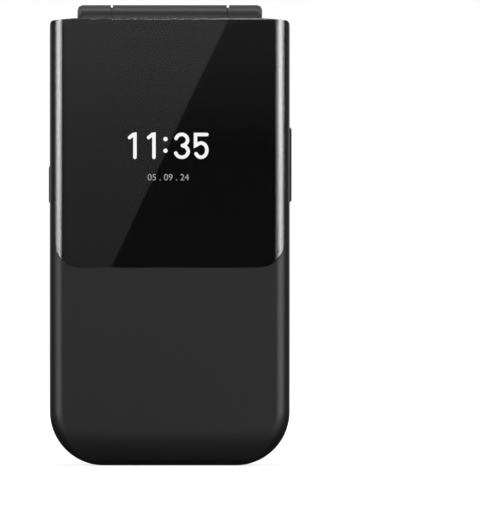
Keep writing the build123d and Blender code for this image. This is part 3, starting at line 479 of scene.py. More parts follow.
def ribbon(points, width, y):
    """A flat stroke of even width along points of (x, z), with round ends, facing out of the lid or deck."""
    path = [Vector((x, z)) for x, z in points]
    runs = [(b - a).normalized() for a, b in zip(path, path[1:])]
    radius = width / 2
    bends = [math.radians(angle) for angle in (80, 60, 40, 20)]
    # A station is a point of the stroke, the way it runs there, and half its width there.
    stations = [(path[0] - runs[0] * radius * math.sin(a), runs[0], radius * math.cos(a)) for a in bends]
    for n, point in enumerate(path):
        before, after = runs[max(n - 1, 0)], runs[min(n, len(runs) - 1)]
        along = (before + after).normalized()
        stations.append((point, along, radius / max(along.dot(after), 0.5)))
    for a in reversed(bends):
        stations.append((path[-1] + runs[-1] * radius * math.sin(a), runs[-1], radius * math.cos(a)))
    deselect()
    bpy.ops.mesh.primitive_grid_add(x_subdivisions=len(stations) - 1, y_subdivisions=1, size=1)
    piece = bpy.context.object
    corners = sorted(piece.data.vertices, key=lambda v: (round(v.co.x, 5), v.co.y))
    for n, (point, along, half) in enumerate(stations):
        across = Vector((-along.y, along.x)) * half
        for vertex, place in zip(corners[2 * n:2 * n + 2], (point - across, point + across)):
            vertex.co = (place.x, y, place.y)
    return piece


def arc(centre, radii, start, end, steps=14):
    """Points (x, z) along part of an ellipse; angles in degrees from +x."""
    angles = [math.radians(start + (end - start) * n / steps) for n in range(steps + 1)]
    return [(centre[0] + radii[0] * math.cos(a), centre[1] + radii[1] * math.sin(a)) for a in angles]


def disc(radius, x, y, z):
    """A flat round dot, facing out of the lid."""
    deselect()
    bpy.ops.mesh.primitive_circle_add(vertices=24, radius=radius, fill_type="NGON", location=(x, y, z),
                                      rotation=(math.pi / 2, 0, 0))
    piece = bpy.context.object
    apply_place(piece)
    return piece


FLAT_WITHIN = math.radians(0.3)
EDGE_ANGLE = math.radians(35)


def dressed_copy(part, name, hard_angle, keep_flats, rounding=0.0):
    """A merged copy of a CAD part with smooth shading, which stands for the part.

    keep_flats lets the large faces set the shading at their borders; rounding bevels the hard edges.
    """
    deselect()
    piece = frame["nodes"][part].copy()
    piece.data = frame["nodes"][part].data.copy()
    bpy.context.collection.objects.link(piece)
    del piece["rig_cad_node"]
    piece.parent = None
    piece.select_set(True)
    bpy.context.view_layer.objects.active = piece
    bpy.ops.mesh.customdata_custom_splitnormals_clear()
    bpy.ops.object.mode_set(mode="EDIT")
    bpy.ops.mesh.select_all(action="SELECT")
    bpy.ops.mesh.remove_doubles(threshold=MERGE_WITHIN / 2)
    if keep_flats:
        bpy.ops.mesh.dissolve_limited(angle_limit=FLAT_WITHIN)
    bpy.ops.object.mode_set(mode="OBJECT")
    if rounding:
        bevel = piece.modifiers.new("Rounding", "BEVEL")
        bevel.width, bevel.segments, bevel.limit_method = rounding, 2, "ANGLE"
        bevel.angle_limit = EDGE_ANGLE
        bpy.ops.object.modifier_apply(modifier=bevel.name)
    bpy.ops.object.shade_smooth_by_angle(angle=math.radians(hard_angle))
    if keep_flats:
        flats = piece.modifiers.new("Flats", "WEIGHTED_NORMAL")
        flats.keep_sharp = True
        bpy.ops.object.modifier_apply(modifier=flats.name)
    finish = piece.data.materials[0]
    hand_over(piece, name, BODY_OF[part], finish)
    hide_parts(part)
    return piece


# ------------------------------------------------------------------ finishes
def finishes():
    """The finish of each of the record's material slots, and of the two parts that differ from their slot."""
    c = colours()
    return {
        "case_dark": dull_upward(moulded("Matte shell", c.shell, 0.4, grain=0.09, depth=0.004, drift=0.06)),
        "keys": moulded("Key caps", c.keys, 0.34, grain=0.07, depth=0.002, drift=0.08),
        "nav_ring": moulded("Satin ring", c.ring, 0.28, grain=0.3, depth=0.001, Metallic=0.6),
        "cover_glass": clear_glass("Lid glass", (0.97, 0.97, 0.97)),
        "window": clear_glass("Tinted window", (0.7, 0.71, 0.72)),
        "camera_window": clear_glass("Dark camera window", (0.42, 0.42, 0.44)),
        "microphone": moulded("Sound mesh", grey(12), 0.7, grain=0.3, depth=0.01),
        "display": moulded("Display face", grey(9), 0.2, depth=0.0005),
        "circuit_board": moulded("Solder resist", (0.005, 0.03, 0.013), 0.35, grain=0.25, depth=0.004),
        "flex": moulded("Ribbon film", (0.36, 0.15, 0.025), 0.3, grain=0.4, depth=0.002),
        "module_plastic": moulded("Black module", grey(34), 0.4, grain=0.08, depth=0.004),
        "steel": brushed("Steel", grey(196), 0.28),
        "trim": moulded("Black trim", grey(40), 0.3, depth=0.001, Metallic=0.7),
        "silicone": moulded("Silicone", grey(48), 0.62, grain=0.06, depth=0.004),
        "frame_grey": dull_upward(moulded("Satin frame", c.frame, 0.36, grain=0.06, depth=0.003, drift=0.06)),
        "cover_black": moulded("Gloss cover", c.cover, 0.14, grain=6.0, Coat_Weight=0.5, Coat_Roughness=0.09),
        "flash_lens": flash_finish(),
        "battery": moulded("Battery sleeve", grey(70), 0.45, grain=0.4, depth=0.004),
        "contact_gold": brushed("Gold plate", (0.83, 0.6, 0.25), 0.22),
        "antenna": moulded("Carrier", grey(120), 0.5, grain=0.12, depth=0.006),
    }


FLASH_RADIUS = 1.75 * MM
# Colours from the lens's middle to its rim, by share of its radius.
FLASH_RINGS = ((0.0, (0.75, 0.72, 0.16)), (0.42, (0.5, 0.5, 0.08)), (0.55, (0.2, 0.22, 0.03)),
               (0.78, (0.42, 0.46, 0.12)), (0.92, (0.62, 0.64, 0.3)), (1.0, (0.16, 0.17, 0.06)))


def flash_finish():
    """Clear lens over a yellow phosphor disc with a dark and a pale ring round it."""
    made, shader = material(
        "Flash lens", (0.6, 0.62, 0.15), Roughness=0.18, Coat_Weight=1.0, Coat_Roughness=0.03)
    tree = made.node_tree
    centre = middle("flash_lens")
    mapping = node(tree, "ShaderNodeMapping", -1000)
    mapping.inputs["Location"].default_value = (-centre.x, 0, -centre.z)
    flatten = node(tree, "ShaderNodeVectorMath", -800, operation="MULTIPLY")
    flatten.inputs[1].default_value = (1, 0, 1)
    distance = node(tree, "ShaderNodeVectorMath", -600, operation="LENGTH")
    link = tree.links.new
    link(object_coordinates(tree), mapping.inputs["Vector"])
    link(mapping.outputs["Vector"], flatten.inputs[0])
    link(flatten.outputs["Vector"], distance.inputs[0])
    share = calculated(tree, -450, 0, "DIVIDE", distance.outputs["Value"], FLASH_RADIUS)
    link(ramp(tree, -300, 0, share, FLASH_RINGS), shader.inputs["Base Color"])
    return made


# ------------------------------------------------------------------ operators
class PHONE_OT_finish_nodes(bpy.types.Operator):
    """Gives every moulded, metal and glass part its finish"""
    bl_idname = "phone.finish_nodes"
    bl_label = "Part finishes"

    def execute(self, context):
        made = finishes()
        for name, obj in frame["nodes"].items():
            obj.data.materials.clear()
            obj.data.materials.append(made.get(name) or made[SLOT_OF[name]])
        return {"FINISHED"}


# CAD part, finished piece, hardest angle that stays smooth, whether flats set the shading at their borders
SHELLS = (
    ("lid_front_case", "lid_shell", 32, True),
    ("lid_inner_case", "lid_inner_shell", 32, True),
    ("base_front_case", "keypad_deck", 32, True),
    ("mid_frame", "side_band", 32, True),
    ("rear_cover", "gloss_cover", 35, False),
    ("hinge_caps", "hinge_end_caps", 32, True),
)
WINDOWS = (
    ("cover_glass", "outer_glass", 40, True),
    ("display_window", "inner_window", 40, True),
    ("camera_window", "camera_glass", 40, True),
    ("camera_trim", "camera_ring", 35, True),
)
KEY_ROUNDING = 0.06 * MM
SIDE_KEY_ROUNDING = 0.05 * MM


class PHONE_OT_shells(bpy.types.Operator):
    """Makes the smooth outer shells, frame and rear cover"""
    bl_idname = "phone.shells"
    bl_label = "Shells"

    def execute(self, context):
        for row in SHELLS:
            dressed_copy(*row)
        return {"FINISHED"}


class PHONE_OT_windows(bpy.types.Operator):
    """Makes the outer glass, inner window and camera window with its ring"""
    bl_idname = "phone.windows"
    bl_label = "Windows"

    def execute(self, context):
        for row in WINDOWS:
            dressed_copy(*row)
        return {"FINISHED"}


class PHONE_OT_keys(bpy.types.Operator):
    """Makes the keypad's keys, the ring and the side keys with softened edges"""
    bl_idname = "phone.keys"
    bl_label = "Keys"

    def execute(self, context):
        for part, slot in SLOT_OF.items():
            if slot in ("keys", "nav_ring"):
                dressed_copy(part, part + "_cap", 32, True, KEY_ROUNDING)
        for part in ("alert_key", "volume_rocker"):
            dressed_copy(part, part + "_cap", 32, True, SIDE_KEY_ROUNDING)
        return {"FINISHED"}


class PHONE_OT_display_mask(bpy.types.Operator):
    """Makes the black print behind the outer glass and round the inner display"""
    bl_idname = "phone.display_mask"
    bl_label = "Glass prints"

    def execute(self, context):
        black, _ = material("Glass print", grey(6), Roughness=0.7, Specular_IOR_Level=0.0)
        self.outer_print(black)
        self.inner_print(black)
        return {"FINISHED"}

    def outer_print(self, black):
        """Behind the whole outer glass, short of its top edge."""
        low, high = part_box("cover_glass")
        inset = 0.25 * MM
        top_inset = 0.95 * MM
        corner = 6.0 * MM
        height = high.z - low.z - inset - top_inset
        sheet = print_sheet(high.x - low.x - 2 * inset, height, corner, False)
        sheet.rotation_euler = (math.pi / 2, 0, 0)
        sheet.location = (0, high.y - 2 * sizes().print_lift, low.z + inset + height / 2)
        apply_place(sheet)
        hand_over(sheet, "glass_print", "lid", black)

    def inner_print(self, black):
        """A border behind the inner window that leaves the display's picture open."""
        low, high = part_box("display_window")
        shown_low, shown_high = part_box("main_display")
        inset = 0.2 * MM
        corner = 3.0 * MM
        edge = 1.2 * MM
        centre = middle("display_window")
        opening = (shown_high.x - shown_low.x - 2 * edge, shown_high.z - shown_low.z - 2 * edge)
        lift = middle("main_display").z - centre.z
        width = high.x - low.x - 2 * inset
        height = high.z - low.z - 2 * inset
        sheet = print_sheet(width, height, corner, True, opening, lift)
        sheet.rotation_euler = (math.pi / 2, 0, math.pi)
        sheet.location = (centre.x, low.y - sizes().print_lift, centre.z)
        apply_place(sheet)
        hand_over(sheet, "window_print", "lid", black)


# The clock's figures as strokes, in shares of their height from each figure's middle.
STROKES = {
    "1": [[(-0.233, 0.355), (-0.072, 0.49), (0.0, 0.5), (0.0, -0.5)]],
    "3": [arc((0.0, 0.252), (0.253, 0.243), 165, -83), arc((0.005, -0.247), (0.274, 0.253), 84, -164)],
    "5": [[(0.251, 0.487), (-0.24, 0.487), (-0.24, 0.01)] + arc((0.0, -0.19), (0.253, 0.31), 130, -150)],
}
STROKE_WIDTH = 0.152
# Each figure and its middle, in the same shares from the clock's middle, and the colon between them.
CLOCK = (("1", -1.505), ("1", -0.68), ("3", 0.524), ("5", 1.363))
COLON_AT = -0.179
COLON_DOTS = (0.29, -0.215)
COLON_RADIUS = 0.093
DATE = "05 . 09 . 24"
DATE_CENTRE = -0.3 * MM


class PHONE_OT_clock(bpy.types.Operator):
    """Makes the lit clock and date behind the outer glass"""
    bl_idname = "phone.clock"
    bl_label = "Clock"

    def execute(self, context):
        s = sizes()
        tall = s.clock_height
        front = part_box("cover_glass")[1].y - 3 * s.print_lift
        strokes = []
        for z in COLON_DOTS:
            strokes.append(disc(COLON_RADIUS * tall, COLON_AT * tall, front, s.clock_level + z * tall))
        for figure, at in CLOCK:
            for stroke in STROKES[figure]:
                points = [((at + x) * tall, s.clock_level + z * tall) for x, z in stroke]
                strokes.append(ribbon(points, STROKE_WIDTH * tall, front))
        hand_over(joined(strokes), "clock_figures", "lid", glowing("Lit figures", colours().lit))
        date = printed_figures(DATE, s.date_height, DATE_CENTRE, front, s.date_level)
        hand_over(date, "date_figures", "lid", glowing("Dim figures", colours().lit_dim))
        return {"FINISHED"}


KEY_FIGURES = {f"key_{n}": str(n) for n in range(10)} | {"key_star": "*", "key_hash": "#"}
STAR_SHARE = 0.8


class PHONE_OT_key_figures(bpy.types.Operator):
    """Prints the figures on the number keys"""
    bl_idname = "phone.key_figures"
    bl_label = "Key figures"

    def execute(self, context):
        s = sizes()
        ink = moulded("Key print", colours().legend, 0.45, grain=0.05, depth=0.001)
        for name, text in KEY_FIGURES.items():
            height = s.legend_height * (STAR_SHARE if text == "*" else 1.0)
            place = middle(name)
            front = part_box(name)[0].y - s.print_lift
            figure = printed_figures(text, height, place.x, front, place.z)
            hand_over(figure, name + "_figure", BODY_OF[name], ink)
        return {"FINISHED"}


HANDSET_LENGTH = 4.4 * MM
CALL_TURN = math.radians(-50)
BAR_LENGTH = 4.6 * MM
BAR_HEIGHT = 0.7 * MM
DOT_SIZE = 0.8 * MM
DOT_REACH = 7.6 * MM


def handset(x, y, z, turn):
    """A telephone handset mark: an arched grip with an ear and a mouth end."""
    reach = HANDSET_LENGTH * 0.42
    grip_width = HANDSET_LENGTH * 0.15
    end_width = HANDSET_LENGTH * 0.24
    strokes = [ribbon(arc((0, -reach), (reach, reach * 1.15), 160, 20), grip_width, 0)]
    for side in (-1, 1):
        end = [(side * reach * 0.98, -reach * 0.62), (side * reach * 0.62, -reach * 0.78)]
        strokes.append(ribbon(end, end_width, 0))
    piece = joined(strokes)
    piece.rotation_euler = (0, turn, 0)
    piece.location = (x, y, z)
    apply_place(piece)
    return piece


class PHONE_OT_function_marks(bpy.types.Operator):
    """Prints the marks on the soft keys, the call and end keys and the ring"""
    bl_idname = "phone.function_marks"
    bl_label = "Function marks"

    def execute(self, context):
        lift = sizes().print_lift
        white = bpy.data.materials["Key print"]
        green = moulded("Green print", (0.03, 0.42, 0.08), 0.45, grain=0.05, depth=0.001)
        red = moulded("Red print", (0.55, 0.02, 0.02), 0.45, grain=0.05, depth=0.001)
        for name, turn, ink in (("call_key", CALL_TURN, green), ("end_key", 0.0, red)):
            place = middle(name)
            mark = handset(place.x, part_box(name)[0].y - lift, place.z, turn)
            hand_over(mark, name + "_mark", name, ink)
        for name in ("soft_key_left", "soft_key_right"):
            place = middle(name)
            bar = flat_bar(BAR_LENGTH, BAR_HEIGHT, place.x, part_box(name)[0].y - lift, place.z)
            hand_over(bar, name + "_mark", name, white)
        centre = middle("nav_ring")
        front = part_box("nav_ring")[0].y - lift
        dots = []
        for quarter in range(4):
            angle = quarter * math.pi / 2
            x = centre.x + DOT_REACH * math.cos(angle)
            z = centre.z + DOT_REACH * math.sin(angle)
            dots.append(flat_bar(DOT_SIZE, DOT_SIZE, x, front, z))
        hand_over(joined(dots), "ring_marks", "nav_ring", white)
        return {"FINISHED"}


# Half the barrel's length, where each washer starts, and the washers' diameters and thickness.
BARREL_HALF = 12.955 * MM
WASHER_BORE = 5.5 * MM
WASHER_WIDTH = 7.26 * MM
WASHER_THICKNESS = 0.14 * MM


class PHONE_OT_slip_washers(bpy.types.Operator):
    """Fits a black slip washer between the hinge's barrel and each knuckle"""
    bl_idname = "phone.slip_washers"
    bl_label = "Slip washers"

    def execute(self, context):
        hinge = next(joint for joint in frame["joints"] if joint["name"] == "lid_hinge")
        _, y, z = hinge["pos_m"]
        black = moulded("Slip washer", grey(30), 0.5, grain=0.08, depth=0.002)
        inner, outer, thick = WASHER_BORE / 2, WASHER_WIDTH / 2, WASHER_THICKNESS
        outline = [(inner, 0), (outer - thick / 3, 0), (outer, thick / 3), (outer, thick), (inner, thick)]
        for name, side in (("slip_washer_left", -1), ("slip_washer_right", 1)):
            washer = turned_ring(outline, Vector((side * BARREL_HALF, y, z)), (side, 0, 0))
            hand_over(washer, name, "base", black)
        return {"FINISHED"}


# Outlines of the lens's pieces as (radius, height) in millimetres, from the camera module's face.
BAFFLE = ((1.95, 0.0), (1.95, 0.35), (2.3, 0.35), (2.3, 0.0))
LENS_RING = ((1.5, 0.05), (1.5, 0.42), (1.62, 0.5), (1.85, 0.5), (1.93, 0.42), (1.93, 0.05))
LENS_CELL = ((0.72, 0.05), (0.72, 0.12), (1.45, 0.36), (1.49, 0.3), (1.49, 0.05))
CROWN_RADIUS = 0.7
CROWN_FOOT = 0.06
CROWN_HEIGHT = 0.18
CROWN_TURNS = (math.pi / 2, 1.2, 0.8, 0.4, 0.02)
LENS_CROWN = [(0.0005, CROWN_FOOT)]
LENS_CROWN += [(CROWN_RADIUS * math.sin(a), CROWN_FOOT + CROWN_HEIGHT * math.cos(a)) for a in CROWN_TURNS]


class PHONE_OT_camera_detail(bpy.types.Operator):
    """Builds the lens stack under the camera window"""
    bl_idname = "phone.camera_detail"
    bl_label = "Camera lens"

    def execute(self, context):
        tip = Vector((0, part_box("camera_module")[1].y, middle("camera_module").z))
        metal = brushed("Lens ring", grey(150), 0.22, along=(1, 1, 1))
        black = moulded("Lens baffle", grey(14), 0.35, depth=0.001)
        lens, _ = material("Lens glass", (0.006, 0.005, 0.012), Roughness=0.03, Coat_Weight=1.0,
                           Coat_Tint=(0.65, 0.6, 1.0, 1))
        for name, outline, finish, slot in (
            ("lens_baffle", BAFFLE, black, "module_plastic"), ("lens_ring", LENS_RING, metal, "trim"),
            ("lens_cell", LENS_CELL, black, "module_plastic"), ("lens_crown", LENS_CROWN, lens, "window"),
        ):
            profile = [(radius * MM, height * MM) for radius, height in outline]
            hand_over(turned_ring(profile, tip, (0, 1, 0)), name, "base", finish)
        return {"FINISHED"}


class PHONE_OT_socket_contacts(bpy.types.Operator):
    """Puts the metal collar in the mouth of the headset socket"""
    bl_idname = "phone.socket_contacts"
    bl_label = "Socket collar"

    def execute(self, context):
        mouth = middle("headset_jack")
        mouth.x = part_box("headset_jack")[0].x
        inner = 1.72 * MM
        outer = 1.79 * MM
        depth = 2.2 * MM
        collar = [(inner, -depth), (inner, -0.1 * MM), (outer, -0.02 * MM), (outer, -depth)]
        piece = turned_ring(collar, mouth, (-1, 0, 0))
        hand_over(piece, "socket_collar", "base", bpy.data.materials["Steel"])
        return {"FINISHED"}


# ------------------------------------------------------------------ studio
def softbox(name, at, target, width, height, radiance):
    """A soft light that the camera doesn't see, given by the brightness of its face."""
    light = bpy.data.lights.new(name, "AREA")
    light.shape = "RECTANGLE"
    light.size = width
    light.size_y = height
    light.energy = radiance * math.pi * width * height
    obj = bpy.data.objects.new(name, light)
    bpy.context.collection.objects.link(obj)
    obj.location = at
    obj.rotation_euler = (target - Vector(at)).to_track_quat("-Z", "Y").to_euler()
    obj.visible_camera = False


def shares(points, peak):
    """Points (place, value) as places from 0 to 1 and shares of the peak."""
    first, last = points[0][0], points[-1][0]
    return [((place - first) / (last - first), value / peak) for place, value in points]


def glow_material(name):
    """A glowing finish: its material, its tree, its place split in x, y and z, and its emission."""
    made = bpy.data.materials.new(name)
    made.use_nodes = True
    tree = made.node_tree
    tree.nodes.clear()
    emission = node(tree, "ShaderNodeEmission", 400)
    output = node(tree, "ShaderNodeOutputMaterial", 600)
    tree.links.new(emission.outputs[0], output.inputs["Surface"])
    place = node(tree, "ShaderNodeSeparateXYZ", -1000)
    tree.links.new(object_coordinates(tree), place.inputs[0])
    return made, tree, place, emission


def unseen(piece):
    """A stage piece that only lights and reflects."""
    piece.visible_camera = piece.visible_shadow = False
    piece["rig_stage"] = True


def glow_wall(name, front, reach, glow, heights, share=1.0):
    """A curved wall round the phone that glows by direction and height.

    front is 1 on the camera's side and -1 behind the phone. glow lists (degrees from that side, radiance) and
    heights (metres, share of it).
    """
    first, last, bottom, top = glow[0][0], glow[-1][0], heights[0][0], heights[-1][0]
    deselect()
    bpy.ops.mesh.primitive_cylinder_add(
        vertices=180, radius=reach, depth=top - bottom, end_fill_type="NOTHING",
        location=(0, 0, (top + bottom) / 2))
    wall = bpy.context.object
    wall.name = name
    apply_place(wall)
    bpy.ops.object.mode_set(mode="EDIT")
    bpy.ops.mesh.select_mode(type="FACE")
    bpy.ops.mesh.select_all(action="DESELECT")
    bpy.ops.object.mode_set(mode="OBJECT")
    for face in wall.data.polygons:
        turn = math.degrees(math.atan2(front * face.center.x, -front * face.center.y))
        face.select = not first <= turn <= last
    bpy.ops.object.mode_set(mode="EDIT")
    bpy.ops.mesh.delete(type="FACE")
    bpy.ops.object.mode_set(mode="OBJECT")
    made, tree, place, emission = glow_material(name)
    aside = calculated(tree, -800, 200, "MULTIPLY", place.outputs["X"], front)
    ahead = calculated(tree, -800, 0, "MULTIPLY", place.outputs["Y"], -front)
    turn = calculated(tree, -600, 0, "ARCTAN2", aside, ahead)
    turn = ranged(tree, -400, 0, turn, math.radians(first), math.radians(last))
    height = ranged(tree, -400, -300, place.outputs["Z"], bottom, top)
    peak = max(level for _, level in glow)
    by_turn = ramp(tree, -200, 0, turn, shares(glow, peak))
    by_height = ramp(tree, -200, -300, height, shares(heights, 1.0))
    level = calculated(tree, 50, 0, "MULTIPLY", by_turn, by_height)
    full = calculated(tree, 220, 0, "MULTIPLY", level, peak * share)
    tree.links.new(full, emission.inputs["Strength"])
    wall.data.materials.append(made)
    unseen(wall)


# Each wall's radiance by degrees from its middle, seen from above, and its fade by height in metres.
LEFT_GLOW = ((-84, 0.6), (-78, 1.2), (-70, 3.2), (-62, 8), (-54, 13), (-46, 16.5), (-38, 16), (-30, 10),
             (-22, 3.4), (-14, 0.8), (-8, 0.2))
RIGHT_GLOW = ((2, 0.8), (6, 2.2), (14, 2.8), (22, 6), (30, 13), (38, 18), (46, 18.5), (54, 16), (62, 11),
              (70, 4.5), (78, 1.2), (84, 0.6))
SIDE_FADE = ((0.0, 0.0), (0.02, 0.35), (0.041, 0.67), (0.055, 0.78), (0.11, 0.95), (0.147, 1.0), (0.154, 0.0))
REAR_GLOW = ((22, 0.0), (26, 1.5), (35, 1.7), (44, 1.5), (48, 0.0))
REAR_FADE = ((0.0, 0.35), (0.1, 0.8), (0.3, 1.0))
REAR_BAND = ((-26, 0.0), (-18, 0.9), (0, 1.0), (18, 0.9), (26, 0.0))
REAR_BAND_FADE = ((0.3, 0.0), (0.42, 1.0), (0.55, 1.0), (0.72, 0.0))
REACH = 1.2
# Each softbox's place, width, height and radiance, all of them aimed at the phone's middle.
SOFTBOXES = {
    "top_box": ((0, 0.12, 1.3), 1.2, 0.3, 4.5),
    "rear_overhead": ((0, 0.75, 0.95), 1.2, 0.6, 0.5),
    "side_overhead_left": ((-0.85, 0.2, 0.8), 0.8, 0.6, 4.0),
    "side_overhead_right": ((0.85, 0.2, 0.8), 0.8, 0.6, 4.0),
}
# The floor's brightness near the phone, and how far out it is fully white.
FLOOR_NEAR = 0.8
FLOOR_WHITE_FROM = 0.35
# The card's width and height, its centre's height and how far it stands behind the camera.
CARD_SIZE = (0.24, 0.5)
CARD_LEVEL = 0.15
CARD_BEHIND = 0.03
# Its border's low and high end as (x, z), and its levels left and right of the border from the low end up.
CARD_BORDER = ((-0.0431, 0.0423), (0.0105, 0.155))
BORDER_BLUR = 1.0 * MM
CARD_LEFT = ((0.0, 0.36), (0.5, 0.46), (1.0, 0.75))
CARD_RIGHT = ((0.0, 0.078), (0.5, 0.072), (1.0, 0.27))


class PHONE_OT_stage(bpy.types.Operator):
    """Sets the pale floor, the studio light and the camera"""
    bl_idname = "phone.stage"
    bl_label = "Studio"

    def execute(self, context):
        low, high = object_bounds()
        self.floor(low.z)
        self.room()
        self.lights(low, high)
        self.card(low)
        self.camera(low)
        context.scene.view_settings.view_transform = "Standard"
        return {"FINISHED"}

    def floor(self, level):
        """A floor that looks white, takes the phone's shadow, and throws little light back up."""
        deselect()
        bpy.ops.mesh.primitive_plane_add(size=8, location=(0, 0, level))
        piece = bpy.context.object
        piece.name = "floor"
        made, shader = material("Pale floor", grey(150), Roughness=0.9, Specular_IOR_Level=0.0)
        tree = made.node_tree
        # White to the camera and through glass; near the phone a little less, so that its shadow shows.
        path = node(tree, "ShaderNodeLightPath", -800, 500).outputs
        direct = calculated(tree, -600, 500, "MAXIMUM", path["Is Camera Ray"], path["Is Transmission Ray"])
        gloss = calculated(tree, -600, 350, "MULTIPLY", path["Is Glossy Ray"], studio().gloss_share)
        seen = calculated(tree, -400, 450, "MAXIMUM", direct, gloss)
        away = node(tree, "ShaderNodeVectorMath", -600, 150, operation="LENGTH")
        out = ranged(tree, -400, 150, away.outputs["Value"], 0.0, FLOOR_WHITE_FROM)
        near = ramp(tree, -200, 150, out, ((0.0, FLOOR_NEAR), (0.6, FLOOR_NEAR), (1.0, 1.0)))
        white = node(tree, "ShaderNodeEmission", 200, 250)
        lit = node(tree, "ShaderNodeAddShader", 350, 100)
        dark = node(tree, "ShaderNodeBsdfDiffuse", 200, -200)
        dark.inputs["Color"].default_value = (*grey(36), 1)
        glint = node(tree, "ShaderNodeAddShader", 350, -150)
        choose = node(tree, "ShaderNodeMixShader", 500, 100)
        link = tree.links.new
        link(object_coordinates(tree), away.inputs[0])
        link(calculated(tree, 50, 350, "MULTIPLY", near, seen), white.inputs["Strength"])
        link(white.outputs[0], lit.inputs[0])
        link(shader.outputs[0], lit.inputs[1])
        link(white.outputs[0], glint.inputs[0])
        link(dark.outputs[0], glint.inputs[1])
        link(direct, choose.inputs[0])
        link(glint.outputs[0], choose.inputs[1])
        link(lit.outputs[0], choose.inputs[2])
        link(choose.outputs[0], tree.nodes["Material Output"].inputs["Surface"])
        piece.data.materials.append(made)
        piece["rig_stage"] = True

    def room(self):
        """Surroundings that look white, show a little in gloss, and light the phone dimly."""
        world = bpy.context.scene.world or bpy.data.worlds.new("Room")
        bpy.context.scene.world = world
        world.use_nodes = True
        tree = world.node_tree
        tree.nodes.clear()
        seen = node(tree, "ShaderNodeBackground", 0, 150)
        seen.inputs["Color"].default_value = (1, 1, 1, 1)
        room = node(tree, "ShaderNodeBackground", 0, -50)
        room.inputs["Color"].default_value = (1, 1, 1, 1)
        room.inputs["Strength"].default_value = studio().room_level
        path = node(tree, "ShaderNodeLightPath", -700, 300).outputs
        direct = calculated(tree, -450, 300, "MAXIMUM", path["Is Camera Ray"], path["Is Transmission Ray"])
        gloss = path["Is Glossy Ray"]
        white = calculated(tree, -200, 300, "MULTIPLY_ADD", gloss, studio().gloss_share, direct)
        mix = node(tree, "ShaderNodeMixShader", 250, 100)
        output = node(tree, "ShaderNodeOutputWorld", 450, 100)
        link = tree.links.new
        link(white, mix.inputs[0])
        link(room.outputs[0], mix.inputs[1])
        link(seen.outputs[0], mix.inputs[2])
        link(mix.outputs[0], output.inputs["Surface"])

    def lights(self, low, high):
        s = studio()
        centre = (low + high) / 2
        glow_wall("left_wall", 1, REACH, LEFT_GLOW, SIDE_FADE, s.side_level)
        glow_wall("right_wall", 1, REACH, RIGHT_GLOW, SIDE_FADE, s.side_level)
        glow_wall("rear_right_wall", -1, REACH, REAR_GLOW, REAR_FADE)
        mirrored = [(-turn, level) for turn, level in reversed(REAR_GLOW)]
        glow_wall("rear_left_wall", -1, REACH, mirrored, REAR_FADE)
        glow_wall("rear_band", -1, REACH, REAR_BAND, REAR_BAND_FADE)
        softbox("overhead", (0, -0.9, 0.75), centre, 0.8, 0.5, s.overhead_level)
        for name, (at, width, height, radiance) in SOFTBOXES.items():
            softbox(name, at, centre, width, height, radiance)

    def card(self, low):
        """A dim two-tone card behind the camera, whose slanting border crosses the glass's reflection."""
        s = studio()
        y = low.y - s.camera_distance - CARD_BEHIND
        deselect()
        bpy.ops.mesh.primitive_plane_add(size=1, location=(0, y, CARD_LEVEL), rotation=(math.pi / 2, 0, 0))
        piece = bpy.context.object
        piece.name = "card"
        piece.scale = (*CARD_SIZE, 1)
        apply_place(piece)
        made, tree, place, emission = glow_material("Card")
        link = tree.links.new
        (low_x, low_z), (high_x, high_z) = CARD_BORDER
        border = node(tree, "ShaderNodeMapRange", -700)
        border.clamp = False
        border.inputs["From Min"].default_value = low_z
        border.inputs["From Max"].default_value = high_z
        border.inputs["To Min"].default_value = low_x
        border.inputs["To Max"].default_value = high_x
        link(place.outputs["Z"], border.inputs["Value"])
        past = calculated(tree, -500, 0, "SUBTRACT", place.outputs["X"], border.outputs["Result"])
        level = ranged(tree, -700, -300, place.outputs["Z"], low_z, high_z)
        mix = node(tree, "ShaderNodeMix", 0, 0, data_type="FLOAT")
        link(ranged(tree, -300, 0, past, -BORDER_BLUR / 2, BORDER_BLUR / 2), mix.inputs["Factor"])
        link(ramp(tree, -400, -300, level, CARD_LEFT), mix.inputs["A"])
        link(ramp(tree, -400, -550, level, CARD_RIGHT), mix.inputs["B"])
        full = calculated(tree, 200, 0, "MULTIPLY", mix.outputs["Result"], s.card_level)
        link(full, emission.inputs["Strength"])
        piece.data.materials.append(made)
        unseen(piece)

    def camera(self, low):
        s = studio()
        camera = bpy.data.cameras.new("camera")
        camera.sensor_width = SENSOR_WIDTH
        camera.lens = SENSOR_WIDTH * s.camera_distance / (IMAGE_HEIGHT * PIXEL)
        obj = bpy.data.objects.new("camera", camera)
        bpy.context.collection.objects.link(obj)
        x = (IMAGE_WIDTH / 2 - PHONE_CENTRE_PX) * PIXEL
        z = (GROUND_PX - IMAGE_HEIGHT / 2) * PIXEL
        obj.location = (x, low.y - s.camera_distance, z)
        obj.rotation_euler = (math.pi / 2, 0, 0)
        camera.clip_start, camera.clip_end = 0.05, 50
        bpy.context.scene.camera = obj


class PHONE_PT_panel(bpy.types.Panel):
    """Lists the phone's pieces and settings"""
    bl_label = "Folding phone"
    bl_idname = "PHONE_PT_panel"
    bl_space_type = "VIEW_3D"
    bl_region_type = "UI"
    bl_category = "Phone"

    def draw(self, context):
        for settings in (colours(), sizes(), studio()):
            box = self.layout.box()
            for name in settings.__annotations__:
                box.prop(settings, name)
        for operator in OPERATORS:
            self.layout.operator(operator.bl_idname)


SETTINGS = {"phone_colours": PhoneColours, "phone_sizes": PhoneSizes, "phone_studio": StudioSettings}
OPERATORS = (
    PHONE_OT_finish_nodes, PHONE_OT_shells, PHONE_OT_windows, PHONE_OT_keys, PHONE_OT_display_mask,
    PHONE_OT_clock, PHONE_OT_key_figures, PHONE_OT_function_marks, PHONE_OT_slip_washers,
    PHONE_OT_camera_detail, PHONE_OT_socket_contacts, PHONE_OT_stage,
)


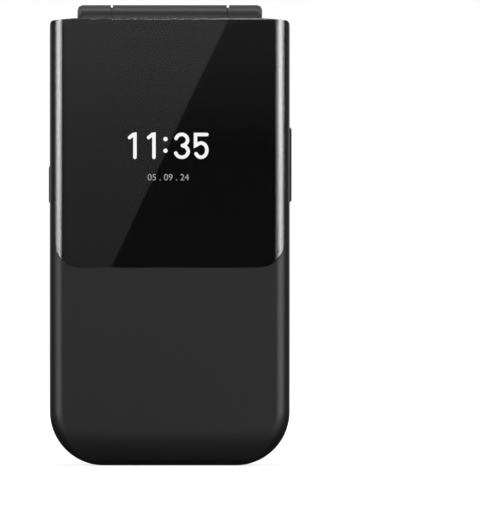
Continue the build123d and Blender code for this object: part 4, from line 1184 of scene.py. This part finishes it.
def register():
    for cls in (*SETTINGS.values(), *OPERATORS, PHONE_PT_panel):
        bpy.utils.register_class(cls)
    for name, group in SETTINGS.items():
        setattr(bpy.types.Scene, name, bpy.props.PointerProperty(type=group))


def unregister():
    for name in SETTINGS:
        delattr(bpy.types.Scene, name)
    for cls in (PHONE_PT_panel, *reversed(OPERATORS), *SETTINGS.values()):
        bpy.utils.unregister_class(cls)


def main():
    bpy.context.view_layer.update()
    register()
    for operator in OPERATORS:
        group, name = operator.bl_idname.split(".")
        getattr(getattr(bpy.ops, group), name)()


if __name__ == "__main__":
    main()
